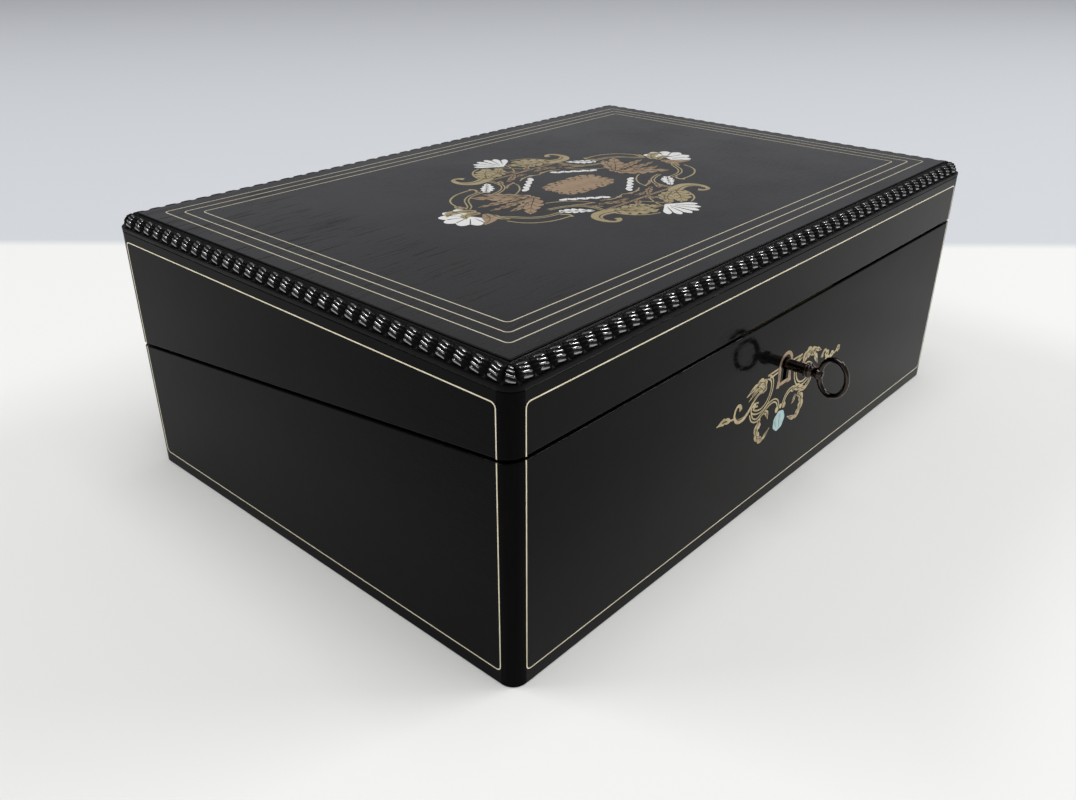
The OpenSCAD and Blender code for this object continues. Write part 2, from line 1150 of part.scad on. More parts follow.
base_front();
base_back();
base_left();
base_right();
base_corner_strips();
base_stringing();
base_bottom();
bottom_baize();
base_lining();
base_floor_pad();
tray_ledges();
lid_front();
lid_back();
lid_left();
lid_right();
lid_corner_strips();
lid_side_stringing();
lid_top_board();
lid_top_veneer();
lid_top_stringing();
moulding_front();
moulding_back();
moulding_left();
moulding_right();
inlay_brass();
inlay_copper();
inlay_pearl();
lid_lining();
lid_pad();
lid_pad_braid();
lid_pad_buttons();
escutcheon_brass();
keyhole_frame();
escutcheon_pearl();
hinge_base_leaves();
hinge_lid_leaves();
hinge_pins();
hinge_base_screws();
hinge_lid_screws();
lock_case();
lock_cover();
lock_drill_pin();
lock_spring();
lock_screws();
lock_bolt();
lock_barrel();
striker_plate();
striker_screws();
key();
tray_frame();
tray_bottom();
tray_dividers();
tray_pads();
ring_rolls();
tray_knobs();
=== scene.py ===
"""Looks of the ebonised jewelry box: a polished black case with metal and pearl inlay."""

import math

import bpy
import numpy as np
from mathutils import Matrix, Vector


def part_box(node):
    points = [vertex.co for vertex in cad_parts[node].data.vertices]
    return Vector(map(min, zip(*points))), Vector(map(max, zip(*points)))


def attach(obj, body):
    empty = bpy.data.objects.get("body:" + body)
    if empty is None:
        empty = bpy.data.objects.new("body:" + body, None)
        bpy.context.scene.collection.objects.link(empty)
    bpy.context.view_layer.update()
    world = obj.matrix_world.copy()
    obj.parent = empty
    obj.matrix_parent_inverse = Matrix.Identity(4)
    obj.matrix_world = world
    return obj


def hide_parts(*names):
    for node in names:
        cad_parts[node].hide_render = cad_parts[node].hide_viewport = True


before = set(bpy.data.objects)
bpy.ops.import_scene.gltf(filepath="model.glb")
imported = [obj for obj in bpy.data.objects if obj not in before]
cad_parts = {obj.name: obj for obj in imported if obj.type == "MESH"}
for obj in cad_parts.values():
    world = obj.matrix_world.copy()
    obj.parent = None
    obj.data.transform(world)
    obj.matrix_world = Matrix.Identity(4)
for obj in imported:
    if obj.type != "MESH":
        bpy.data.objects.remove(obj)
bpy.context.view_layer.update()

MM = 0.001


def box_mm(node):
    """Lowest and highest corner of a CAD node in millimetres."""
    low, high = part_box(node)
    return [v / MM for v in low], [v / MM for v in high]


# ---------------------------------------------------------------- sizes, in millimetres
SKIN = 0.05  # the polished wood lies this far under the inlay
CORNER = 5.5  # radius of the corner strips
EDGE = 0.45  # radius of the walls' edges
GAP = 0.42  # how far each rim stands back from the joint
LINE_W = 0.42  # width of a brass line
LINE_R = 1.8  # radius of its corners
half_x = -box_mm("base_left")[0][0]
half_y = -box_mm("base_front")[0][1]
top_z = box_mm("lid_top_veneer")[1][2]
wall = half_x + box_mm("base_left")[1][0]
foot_z = box_mm("base_left")[0][2]
rail_z = box_mm("lid_left")[1][2]
panel_x, panel_y, _ = box_mm("lid_top_veneer")[1]
split_front = box_mm("base_front")[1][2]
slope = (split_front - box_mm("base_back")[1][2]) / (2 * half_y - wall)
line_side = CORNER + 0.2
line_low = 5.2
line_top = box_mm("lid_side_stringing")[1][2]
top_insets = [13.3, 18.3, 23.4]
FACES = {"front": 0, "right": 90, "back": 180, "left": 270}
QUARTERS = ((1, 1, 0), (-1, 1, 90), (-1, -1, 180), (1, -1, 270))  # signs of a corner, and where its arc starts


def is_long(face):
    return face in ("front", "back")


def half_of(face):
    """Half the length of a side."""
    return half_x if is_long(face) else half_y


def names_of(lid):
    """What the names of the upper or lower half start with, and its body."""
    return ("lid", "lid") if lid else ("base", "case")


def split(y):
    """Height of the base rim at y."""
    return split_front - slope * (y + half_y)


lid_gap = box_mm("lid_back")[0][2] - split(half_y)


# ---------------------------------------------------------------- materials
class Look:
    """A material with one Principled shader, and short ways to add nodes to it."""

    def __init__(self, name, color, **sockets):
        self.material = bpy.data.materials.new(name)
        self.material.use_nodes = True
        self.tree = self.material.node_tree
        self.shader = self.tree.nodes["Principled BSDF"]
        self.fill(self.shader, Base_Color=color, **sockets)
        self.coords = self.tree.nodes.new("ShaderNodeTexCoord").outputs["Object"]
        self.normal = None

    def put(self, value, socket):
        """Links a node's output to the socket, or sets the socket to a number, vector or colour."""
        if isinstance(value, bpy.types.NodeSocket):
            self.tree.links.new(value, socket)
        else:
            socket.default_value = (*value, 1) if socket.type == "RGBA" else value

    def fill(self, node, **sockets):
        """Puts a value in each named input of the node."""
        for socket, value in sockets.items():
            self.put(value, node.inputs[socket.replace("_", " ")])

    def node(self, kind, **sockets):
        """A new node with these inputs."""
        node = self.tree.nodes.new("ShaderNode" + kind)
        self.fill(node, **sockets)
        return node

    def place(self, scale=(1, 1, 1), turn=(0, 0, 0)):
        """Object coordinates, scaled and turned."""
        return self.node("Mapping", Vector=self.coords, Scale=scale, Rotation=turn).outputs["Vector"]

    def along_x(self, vector):
        """The first coordinate of a vector."""
        return self.node("SeparateXYZ", Vector=vector).outputs["X"]

    def noise(self, size, detail=3.0, rough=0.5, stretch=(1, 1, 1), bend=0.0):
        """Noise whose features are about size metres long."""
        return self.node("TexNoise", Vector=self.place(stretch), Scale=1 / size, Detail=detail,
                         Roughness=rough, Distortion=bend).outputs["Fac"]

    def wave(self, size, direction, bend, detail):
        """Parallel waves of that length in metres."""
        node = self.node("TexWave", Vector=self.place(), Scale=0.314 / size, Distortion=bend, Detail=detail)
        node.bands_direction = direction
        return node.outputs["Fac"]

    def band(self, source, low, high, start=0.0, end=1.0):
        """Maps source from low..high to start..end."""
        return self.node("MapRange", Value=source, From_Min=low, From_Max=high, To_Min=start,
                         To_Max=end).outputs["Result"]

    def math(self, operation, a, b):
        node = self.node("Math")
        node.operation = operation
        self.put(a, node.inputs[0])
        self.put(b, node.inputs[1])
        return node.outputs["Value"]

    def mix(self, amount, a, b):
        """Colour a where amount is 0, b where it is 1."""
        node = self.node("Mix")
        node.data_type = "RGBA"
        self.put(amount, node.inputs["Factor"])
        self.put(a, node.inputs[6])
        self.put(b, node.inputs[7])
        return node.outputs[2]

    def color(self, source):
        self.fill(self.shader, Base_Color=source)

    def rough(self, source):
        self.fill(self.shader, Roughness=source)

    def bump(self, height, depth, strength=1.0):
        """Adds a bump, depth metres from black to white."""
        node = self.node("Bump", Height=height, Strength=strength, Distance=depth)
        if self.normal is not None:
            self.fill(node, Normal=self.normal)
        self.normal = node.outputs["Normal"]
        self.fill(self.shader, Normal=self.normal)


def ebonised(name, grain_axis, rough, shine, cracked=False):
    """French-polished black wood: grain, open pores, rubbed brown patches, and fine cracks at the left end."""
    look = Look(name, (0.006, 0.006, 0.006), Roughness=rough, Specular_IOR_Level=shine)
    along = [9, 9, 9]
    along[grain_axis] = 0.7
    grain = look.noise(0.012, 5, 0.6, tuple(along))
    pores = look.noise(0.004, 2, 0.5, tuple(along))
    cloud = look.noise(0.05, 4, 0.55)
    rub = look.band(look.noise(0.022, 6, 0.7), 0.62, 0.8)
    black = look.mix(grain, (0.0022, 0.0022, 0.0023), (0.005, 0.0048, 0.0046))
    look.color(look.mix(look.math("MULTIPLY", rub, 0.45), black, (0.014, 0.009, 0.006)))
    uneven = look.math("ADD", look.band(cloud, 0.3, 0.75, 0.7 * rough, 1.3 * rough),
                       look.band(pores, 0.45, 0.8, 0.0, 0.35 * rough))
    if cracked:
        splits = look.band(look.noise(0.0011, 2, 0.5, (0.05, 1, 1), 0.4), 0.6, 0.65)
        splits = look.math("MULTIPLY", splits, look.band(look.along_x(look.coords), -0.128, -0.085, 0.6, 0.0))
        uneven = look.math("ADD", uneven, splits)
        look.bump(splits, -0.00015, 1.0)
    look.rough(uneven)
    look.bump(look.band(pores, 0.55, 0.75), 0.00002, 0.5)
    look.bump(cloud, 0.0006, 0.25)
    return look


def metal(name, light, dark, rough, metallic=1.0):
    """Worn metal with cloudy tarnish and fine scratches."""
    look = Look(name, light, Metallic=metallic, Roughness=rough)
    cloud = look.noise(0.006, 4, 0.6)
    fine = look.noise(0.0006, 3, 0.7)
    look.color(look.mix(look.band(cloud, 0.38, 0.72), light, dark))
    look.rough(look.band(cloud, 0.3, 0.7, rough - 0.07, rough + 0.1))
    look.bump(fine, 0.00004, 0.5)
    return look


def shell_look(name, pale, second, third):
    """Mother of pearl: soft bands of colour under a polished face."""
    look = Look(name, pale, Roughness=0.22, Coat_Weight=0.3)
    band = look.wave(0.0022, "DIAGONAL", 5.0, 2.0)
    patch = look.noise(0.003, 3, 0.6)
    tint = look.mix(look.band(patch, 0.35, 0.65), second, third)
    look.color(look.mix(look.band(band, 0.35, 0.95, 0.0, 0.6), pale, tint))
    look.bump(look.noise(0.0008, 3, 0.6), 0.00004, 0.4)
    return look


def cloth_look(name, deep, pale, weave, sheen, rough=0.9):
    """Velvet or satin: a fine pile with brushed lighter patches and a sheen."""
    look = Look(name, deep, Roughness=rough, Sheen_Weight=sheen, Sheen_Roughness=0.35,
                Sheen_Tint=[min(1.0, 2.2 * c + 0.12) for c in pale])
    brushed = look.noise(0.016, 4, 0.6, (1, 1, 1), 1.5)
    pile = look.noise(weave, 2, 0.7)
    toned = look.mix(look.band(brushed, 0.35, 0.7), deep, pale)
    look.color(look.mix(look.band(pile, 0.3, 0.75), toned, tuple(0.55 * c for c in deep)))
    look.bump(pile, weave * 0.35, 0.7)
    return look


top_wood = ebonised("ebonised top", 0, 0.24, 0.42, cracked=True)
side_wood = ebonised("ebonised sides", 0, 0.07, 0.055)
end_wood = ebonised("ebonised ends", 1, 0.09, 0.036)
post_wood = ebonised("ebonised posts", 2, 0.08, 0.02)
# Reflective copy of the ebonised wood (full specular, coat, IOR 2.0) for the moulding's crests: a painted
# glint.
painted_glint_wood = ebonised("ebonised moulding painted glint", 0, 0.1, 1.0)
painted_glint_wood.fill(painted_glint_wood.shader, Coat_Weight=1.0, IOR=2.0)
# Dull copy of the ebonised wood: painted shade in the moulding's cuts, cove and fillet, and on the top panel's
# edge.
painted_shade_wood = ebonised("ebonised painted shade", 0, 0.35, 0.06)
inner_wood = Look("rosewood carcase", (0.09, 0.04, 0.02), Roughness=0.38, Coat_Weight=0.2)
inner_wood.color(inner_wood.mix(inner_wood.noise(0.01, 6, 0.65, (0.6, 8, 8), 1.0),
                                (0.045, 0.018, 0.010), (0.17, 0.075, 0.034)))
inner_wood.rough(inner_wood.band(inner_wood.noise(0.004, 3, 0.6, (0.7, 8, 8)), 0.3, 0.7, 0.28, 0.5))
inner_wood.bump(inner_wood.noise(0.003, 3, 0.6, (0.6, 8, 8)), 0.00004, 0.6)
line_brass = metal("line brass", (0.94, 0.86, 0.66), (0.76, 0.66, 0.46), 0.34, 0.6)
inlay_brass = metal("inlay brass", (0.62, 0.51, 0.29), (0.40, 0.32, 0.17), 0.38, 0.7)
inlay_copper = metal("inlay rose copper", (0.52, 0.37, 0.235), (0.34, 0.235, 0.145), 0.42, 0.7)
hardware = metal("hardware brass", (0.83, 0.62, 0.30), (0.58, 0.40, 0.18), 0.24)
steel = metal("dark steel", (0.06, 0.048, 0.044), (0.025, 0.021, 0.02), 0.11)
pearl = shell_look("mother of pearl", (0.70, 0.70, 0.67), (0.58, 0.68, 0.66), (0.72, 0.62, 0.66))
abalone = shell_look("abalone", (0.42, 0.66, 0.63), (0.22, 0.50, 0.48), (0.62, 0.66, 0.74))
engraving = Look("engraving", (0.02, 0.017, 0.014), Roughness=0.55)
engraving.color(engraving.mix(engraving.noise(0.001), (0.012, 0.010, 0.009), (0.05, 0.038, 0.026)))


# ---------------------------------------------------------------- mesh helpers
def mesh_object(name, verts, faces):
    """A mesh object from points in millimetres."""
    mesh = bpy.data.meshes.new(name)
    mesh.from_pydata([(x * MM, y * MM, z * MM) for x, y, z in verts], [], faces)
    mesh.update()
    obj = bpy.data.objects.new(name, mesh)
    bpy.context.scene.collection.objects.link(obj)
    return obj


def make(name, verts, faces, look, body, slot, replaced=(), smooth=35):
    """A piece that rides on a CAD body; edges sharper than smooth degrees stay sharp."""
    obj = mesh_object(name, verts, faces)
    obj.data.materials.append(look.material)
    if smooth:
        obj.data.shade_smooth()
        obj.data.set_sharp_from_angle(angle=math.radians(smooth))
        weighted = obj.modifiers.new("flat faces", "WEIGHTED_NORMAL")
        weighted.keep_sharp = True
    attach(obj, body)
    if replaced:
        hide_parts(*replaced)
    return obj


def arc(cx, cy, r, start, end, steps):
    """Points on an arc, angles in degrees."""
    angles = [math.radians(start + (end - start) * i / steps) for i in range(steps + 1)]
    return [(cx + r * math.cos(a), cy + r * math.sin(a)) for a in angles]


def on_face(face, s, depth, z):
    """A point s along a side of the case, depth under its surface."""
    turn = math.radians(FACES[face])
    reach = (half_y if is_long(face) else half_x) - SKIN - depth
    return (math.sin(turn) * reach + math.cos(turn) * s, -math.cos(turn) * reach + math.sin(turn) * s, z)


def tube_faces(rings, size, closed=False):
    """Quads between rings of size points, numbered one ring after another."""
    faces = []
    for i in range(rings if closed else rings - 1):
        a, b = i * size, ((i + 1) % rings) * size
        for j in range(size):
            k = (j + 1) % size
            faces.append((a + j, b + j, b + k, a + k))
    return faces


def renumbered(faces, first):
    """The same faces, for points that start at number first."""
    return [tuple(first + k for k in face) for face in faces]


def cut(obj, shapes):
    """Takes closed meshes, given as (points in millimetres, faces), out of obj."""
    for verts, faces in shapes:
        tool = mesh_object("cutter", verts, faces)
        modifier = obj.modifiers.new("cut", "BOOLEAN")
        modifier.operation = "DIFFERENCE"
        modifier.solver = "EXACT"
        modifier.object = tool
        bpy.context.view_layer.update()
        shape = bpy.data.meshes.new_from_object(obj.evaluated_get(bpy.context.evaluated_depsgraph_get()))
        obj.modifiers.clear()
        obj.data = shape
        bpy.data.objects.remove(tool)


def block(low, high):
    """A closed box between two corners."""
    verts = [(x, y, z) for z in (low[2], high[2]) for y in (low[1], high[1]) for x in (low[0], high[0])]
    faces = [(0, 2, 3, 1), (4, 5, 7, 6), (0, 1, 5, 4), (2, 6, 7, 3), (0, 4, 6, 2), (1, 3, 7, 5)]
    return verts, faces


def prism(outline, place, low, high):
    """A closed prism; outline runs counter-clockwise seen from the high side."""
    count = len(outline)
    verts = [place(u, v, low) for u, v in outline] + [place(u, v, high) for u, v in outline]
    faces = [tuple(reversed(range(count))), tuple(range(count, 2 * count))]
    faces += [(i, (i + 1) % count, count + (i + 1) % count, count + i) for i in range(count)]
    return verts, faces


# ---------------------------------------------------------------- case and lid walls
def wall_section(thick):
    """Points of a wall's section: depth, which end they belong to, and height from that end."""
    inner_edge = 0.3
    low = [(d, "low", z) for d, z in arc(EDGE, EDGE, EDGE, 270, 180, 4)]
    high = [(d, "high", z) for d, z in arc(EDGE, -EDGE, EDGE, 180, 90, 4)]
    if thick > CORNER:
        high.append((CORNER, "high", 0))
        low.insert(0, (CORNER, "low", 0))
    high += [(d, "high", z) for d, z in arc(thick - inner_edge, -inner_edge, inner_edge, 90, 0, 3)]
    low.insert(0, (thick, "low", 0))
    return low + high


def section_height(anchor, offset, y, lid):
    """Height of a point of the section at y."""
    if lid:
        return (split(y) + lid_gap + GAP if anchor == "low" else rail_z) + offset
    return (foot_z if anchor == "low" else split(y) - GAP) + offset


def make_wall(face, lid, look):
    """One side of the case or the lid, mitred at its ends behind the corner strips."""
    section = wall_section(wall)
    verts = []
    for side in (-1, 1):
        for depth, anchor, offset in section:
            s = side * (half_of(face) - max(CORNER, depth))
            x, y, _ = on_face(face, s, depth, 0)
            verts.append((x, y, section_height(anchor, offset, y, lid)))
    count = len(section)
    faces = tube_faces(2, count) + [tuple(range(count)), tuple(reversed(range(count, 2 * count)))]
    part, body = names_of(lid)
    return make(f"{part}_{face}_wall", verts, faces, look, body, "ebonised_wood", [f"{part}_{face}"])


def make_corners(lid):
    """Four quarter-round corner strips."""
    section = wall_section(CORNER - SKIN - 0.02)
    count = len(section)
    steps = 10
    verts, faces = [], []
    for sx, sy, start in QUARTERS:
        first = len(verts)
        for i in range(steps + 1):
            a = math.radians(start + 90 * i / steps)
            for depth, anchor, offset in section:
                r = CORNER - SKIN - depth
                x = sx * (half_x - CORNER) + r * math.cos(a)
                y = sy * (half_y - CORNER) + r * math.sin(a)
                verts.append((x, y, section_height(anchor, offset, y, lid)))
        ends = [tuple(range(count)), tuple(steps * count + k for k in reversed(range(count)))]
        faces += renumbered(tube_faces(steps + 1, count) + ends, first)
    part, body = names_of(lid)
    make(f"{part}_corners", verts, faces, post_wood, body, "ebonised_wood", [f"{part}_corner_strips"])


walls = {}
for is_lid in (False, True):
    for face in FACES:
        walls[face, is_lid] = make_wall(face, is_lid, side_wood if is_long(face) else end_wood)
    make_corners(is_lid)

key_axis_z = (box_mm("lock_barrel")[0][2] + box_mm("lock_barrel")[1][2]) / 2
bolt_top = box_mm("lock_bolt")[1][2]
cover_low, cover_high = box_mm("lock_cover")
case_low, _ = box_mm("lock_case")
hinge_low, hinge_high = box_mm("hinge_pins")
hinge_y = (hinge_low[1] + hinge_high[1]) / 2
hinge_z = (hinge_low[2] + hinge_high[2]) / 2
HINGE_LEN = 38.6
KNUCKLE_R = 2.9  # radius of the groove that a hinge's barrel lies in
WORKS_X = 28.9  # half the width of the pocket for the lock
STAPLES_X = 24  # half the width of the pocket for the staples and the bolt
PLAY = 0.1
OVER = 5  # a cutter passes the rim by this much
keyhole = arc(0, key_axis_z, 2.5, -57, 237, 20) + [(-1.35, key_axis_z - 7.2), (1.35, key_axis_z - 7.2)]
lock_inner = -(half_y - wall)


def front_place(u, z, h):
    """A point h in front of the front face."""
    return on_face("front", u, -h, z)


cut(walls["front", False], [
    block((-WORKS_X, case_low[1] - PLAY, case_low[2] - PLAY), (WORKS_X, lock_inner - 1, split_front + OVER)),
    block((cover_low[0] - PLAY / 2, cover_low[1] - PLAY, cover_low[2] - PLAY),
          (cover_high[0] + PLAY / 2, lock_inner + 1, split_front + OVER)),
    prism(keyhole, front_place, -4, 1),
])
cut(walls["front", True], [
    block((-STAPLES_X, case_low[1] + 0.6, split_front - 8), (STAPLES_X, lock_inner - 1.5, bolt_top + 4)),
])
for is_lid in (False, True):
    cut(walls["back", is_lid], [
        prism(arc(hinge_y, hinge_z, KNUCKLE_R, 0, 345, 23),
              lambda y, z, x, side=side: (x + side * (hinge_high[0] - HINGE_LEN / 2 + 0.3), y, z),
              -HINGE_LEN / 2, HINGE_LEN / 2)
        for side in (-1, 1)
    ])


# ---------------------------------------------------------------- top panel and moulding
def rounded_frame(hx, hy, r, steps=6):
    """Points round a rounded rectangle, counter-clockwise from the right side."""
    points = []
    for sx, sy, start in QUARTERS:
        points += arc(sx * (hx - r), sy * (hy - r), r, start, start + 90, steps)
    return points


rings = [(0.0, -0.8 + SKIN), (0.0, -0.35), (0.1, -0.12), (0.35, 0.0)]
panel_verts = []
for inset, lift in rings:
    panel_verts += [(x, y, top_z - SKIN + lift)
                    for x, y in rounded_frame(panel_x - inset, panel_y - inset, 0.6, 3)]
ring_size = len(panel_verts) // len(rings)
panel_faces = [tuple(reversed(f)) for f in tube_faces(len(rings), ring_size)]
panel_faces.append(tuple(range(len(panel_verts) - ring_size, len(panel_verts))))
panel_faces.append(tuple(reversed(range(ring_size))))
top_panel = make("top_panel", panel_verts, panel_faces, top_wood, "lid", "ebonised_wood",
                 ["lid_top_veneer"], 50)
# The panel's rounded edge gets the dull copy: painted shade in place of its highlight.
top_panel.data.materials.append(painted_shade_wood.material)
for polygon in top_panel.data.polygons[:-2]:
    polygon.material_index = 1

PITCH = 6.6  # length of one carved bar
RIBS = 4  # reeds across it
CREST = 0.25  # half the length of a bar's crest, as a share of the pitch
TWIST = 1.1  # how many ribs the reeds climb over one pitch
BEAD_OUT, BEAD_UP = 1.2, 1.5  # where the carving starts, from the side and from the rail
BEAD_STEPS = 44


def swell(path):
    """Height of the bar along its length: a long crest between two V cuts."""
    away = abs((path / PITCH) % 1.0 - 0.5)
    if away < CREST:
        return 1 - 0.05 * (away / CREST) ** 2
    return 0.95 * (1 - (away - CREST) / (0.5 - CREST))


def reed(path, t):
    """Height of the reeds at t across the bar; they run a little askew."""
    phase = (path / PITCH) % 1.0
    return abs(math.sin(math.pi * (RIBS * t + TWIST * (phase - 0.5))))


def moulding_profile(path):
    """Depth and height across the moulding, from the side of the lid to the top panel."""
    s = half_x - panel_x
    points = [(s - 0.02, rail_z + 0.05), (0.1, rail_z + 0.05), (0.0, rail_z + 0.25), (0.0, rail_z + 1.3),
              (0.15, rail_z + 1.55)]
    a, b = (BEAD_OUT, rail_z + BEAD_UP), (s - 1.75, top_z - 0.62)
    for i in range(BEAD_STEPS + 1):
        t = i / BEAD_STEPS
        crown = math.sin(math.pi * t) ** 0.6
        lift = crown * swell(path) * (1.15 + 0.5 * reed(path, t) ** 0.7) - 0.2 * crown
        points.append((a[0] + (b[0] - a[0]) * t - lift * 0.707, a[1] + (b[1] - a[1]) * t + lift * 0.707))
    points += [(s - 1.3, top_z - 1.1), (s - 0.7, top_z - 1.25), (s - 0.02, top_z - 1.25)]
    return points


def is_painted_glint(path, t):
    """True on the crests of the reeds, which get the reflective copy as a painted glint; the cuts between them
    get the dull copy as painted shade.
    """
    return swell(path) > 0.93 and 0.05 < t < 0.95 and reed(path, t) > 0.8


def make_moulding(face):
    """A carved bar: it follows the straight side and half of the rounded corner at each end."""
    straight = half_of(face) - CORNER
    quarter = CORNER * math.pi / 4
    pitches = round((2 * straight + 2 * quarter * 1.15) / PITCH)
    length = 2 * straight + 2 * quarter
    samples = pitches * 16
    verts = []
    paths = []
    for i in range(samples + 1):
        at = -length / 2 + length * i / samples
        path = ((at / length + 0.5) * pitches + 0.5) * PITCH
        paths.append(path)
        beyond = max(0.0, abs(at) - straight)
        swing = math.copysign(min(beyond / CORNER, math.pi / 4), at)
        base = math.copysign(min(abs(at), straight), at)
        profile = moulding_profile(path)
        for depth, z in profile:
            s, d = base, max(depth, 0.0)
            if beyond > 0:
                r = CORNER - d
                if r < 0:
                    r /= math.cos(swing)
                s = base + r * math.sin(swing)
                d = CORNER - r * math.cos(swing)
            verts.append(on_face(face, s, d - SKIN, z))
    size = len(profile)
    faces = tube_faces(samples + 1, size)
    faces += [tuple(range(size)), tuple(reversed(range(samples * size, (samples + 1) * size)))]
    obj = make(f"moulding_{face}_carved", verts, faces, painted_shade_wood, "lid", "ebonised_wood",
               [f"moulding_{face}"], 60)
    # Crest faces get the reflective copy as a painted glint; every other face keeps the dull copy as painted
    # shade.
    obj.data.materials.append(painted_glint_wood.material)
    for polygon in obj.data.polygons[:samples * size]:
        i, j = divmod(polygon.index, size)
        middle = (paths[i] + paths[i + 1]) / 2
        polygon.material_index = int(is_painted_glint(middle, (j - 4.5) / BEAD_STEPS))


for face in FACES:
    make_moulding(face)


# ---------------------------------------------------------------- flat inlay
def smooth_line(points, steps=8):
    """A smooth line through the points, as positions and unit normals."""
    ends = [points[0], *points, points[-1]]
    line = []
    for i in range(len(points) - 1):
        p0, p1, p2, p3 = (np.array(p, float) for p in ends[i:i + 4])
        for k in range(steps):
            t = k / steps
            line.append(0.5 * (2 * p1 + (p2 - p0) * t + (2 * p0 - 5 * p1 + 4 * p2 - p3) * t * t
                               + (3 * p1 - 3 * p2 + p3 - p0) * t ** 3))
    line.append(np.array(points[-1], float))
    line = np.array(line)
    run = np.gradient(line, axis=0)
    run /= np.linalg.norm(run, axis=1)[:, None] + 1e-9
    return line, np.stack([-run[:, 1], run[:, 0]], axis=1)


def stroke(points, widths, steps=8):
    """Outline of a line whose width runs through the given widths."""
    line, side = smooth_line(points, steps if len(points) > 2 else 1)
    t = np.linspace(0, 1, len(line))
    wide = np.interp(t, np.linspace(0, 1, len(widths)), widths)[:, None] / 2
    return [tuple(p) for p in np.concatenate([line + side * wide, (line - side * wide)[::-1]])]


def parallel(points, gap, width):
    """Outlines of two fine lines side by side."""
    line, side = smooth_line(points)
    return [stroke([tuple(p) for p in line + side * gap * k / 2], [width], 1) for k in (-1, 1)]


def leaf(spine, width, lobes, sides=(1.0, 1.0)):
    """Outline of an acanthus leaf: lobes on both sides of a curved spine, which step back to the tip."""
    steps = max(6, round(lobes * 9 / (len(spine) - 1)))
    line, side = smooth_line(spine, steps)
    edges = []
    for sign, share in ((1, sides[0]), (-1, sides[1])):
        edge = []
        for i, (p, n) in enumerate(zip(line, side)):
            t = i / (len(line) - 1)
            body = (0.35 + 0.65 * min(1.0, 2.6 * t)) * (1 - 0.9 * t ** 2.6)
            tooth = (lobes * t + 0.1) % 1.0
            swell = 0.62 + 0.38 * math.sin(math.pi * min(1.0, 0.12 + 1.05 * tooth)) ** 0.7
            edge.append(p + n * sign * share * width / 2 * body * swell)
        edges.append(edge)
    return [tuple(p) for p in edges[0] + edges[1][::-1]]


def veins(spine, width, lobes):
    """Engraved lines of a leaf: its midrib, and a line into each lobe."""
    line, side = smooth_line(spine, 10)
    count = len(line) - 1
    outlines = [stroke([tuple(line[round(count * t)]) for t in (0.05, 0.3, 0.55, 0.85)],
                       [0.45, 0.4, 0.3, 0.12])]
    for k in range(lobes):
        t = (k + 0.25) / lobes
        here = line[round(count * min(0.9, t))]
        ahead = line[round(count * min(1.0, t + 0.16))]
        n = side[round(count * min(0.9, t))]
        for sign in (-1, 1):
            reach = ahead + n * sign * width * 0.3 * (1 - t ** 2.4)
            outlines.append(stroke([tuple(here + n * sign * 0.25), tuple(reach)], [0.34, 0.12]))
    return outlines


def fan(cx, cy, facing, spread, radius, lobes, bulge=0.2):
    """Outline of a shell: a point, and a scalloped edge round it."""
    outline = [(cx, cy)]
    steps = lobes * 10
    for i in range(steps + 1):
        t = i / steps
        a = math.radians(facing + spread * (t - 0.5))
        scallop = 1 - bulge + bulge * abs(math.sin(math.pi * lobes * t))
        r = radius * (0.86 + 0.14 * math.sin(math.pi * t)) * scallop
        outline.append((cx + r * math.cos(a), cy + r * math.sin(a)))
    return outline


def fan_lines(cx, cy, facing, spread, radius, lobes):
    """Engraved lines between the lobes of a shell."""
    outlines = []
    for k in range(1, lobes):
        a = math.radians(facing + spread * (k / lobes - 0.5))
        ends = [(cx + r * math.cos(a), cy + r * math.sin(a)) for r in (0.3 * radius, 0.84 * radius)]
        outlines.append(stroke(ends, [0.25, 0.6]))
    return outlines


def disc(cx, cy, r, wobble=0.0, lobes=5):
    return [(cx + r * (1 + wobble * math.cos(lobes * a)) * math.cos(a),
             cy + r * (1 + wobble * math.cos(lobes * a)) * math.sin(a))
            for a in np.linspace(0, 2 * math.pi, 29)[:-1]]


FOUR = ((1, 1), (-1, 1), (1, -1), (-1, -1))
BOTH = ((1, 1), (-1, 1))
TOP_BOTTOM = ((1, 1), (1, -1))
ONE = ((1, 1),)
RIGHT = ((-1, 1),)
RISE = 0.00005  # each outline stands this much higher than the one before, so that none share a plane


class Inlay:
    """Flat pieces of one material let into a face, each drawn in its mirrored places."""

    def __init__(self, place, base):
        self.place = place
        self.height = base
        self.verts = []
        self.faces = []

    def add(self, outlines, flips=FOUR, shift=(0, 0)):
        for outline in outlines:
            self.height += RISE
            for fu, fv in flips:
                points = [(shift[0] + u * fu, shift[1] + v * fv) for u, v in outline]
                area = sum(a[0] * b[1] - b[0] * a[1] for a, b in zip(points, points[1:] + points[:1]))
                verts, faces = prism(points if area > 0 else points[::-1], self.place, -0.25, self.height)
                self.faces += renumbered(faces, len(self.verts))
                self.verts += verts

    def line(self, points, widths, flips=FOUR, shift=(0, 0), steps=8):
        self.add([stroke(points, widths, steps)], flips, shift)

    def twin(self, points, gap, width, flips=FOUR):
        self.add(parallel(points, gap, width), flips)

    def build(self, name, look, body, slot, replaced=()):
        make(name, self.verts, self.faces, look, body, slot, replaced, smooth=0)


def top_place(u, v, h):
    """A point h over the top panel."""
    return (u, v, top_z - SKIN + h)


def leaves(inlay, rows, flips=FOUR, vein=1.0):
    """Leaves with their engraved lines; a row is spine, width and lobes."""
    for spine, width, lobes in rows:
        inlay.add([leaf(spine, width, lobes)], flips)
        dark.add(veins(spine, width * vein, lobes), flips)


brass = Inlay(top_place, 0.026)
copper = Inlay(top_place, 0.022)
white = Inlay(top_place, 0.034)
dark = Inlay(top_place, 0.042)

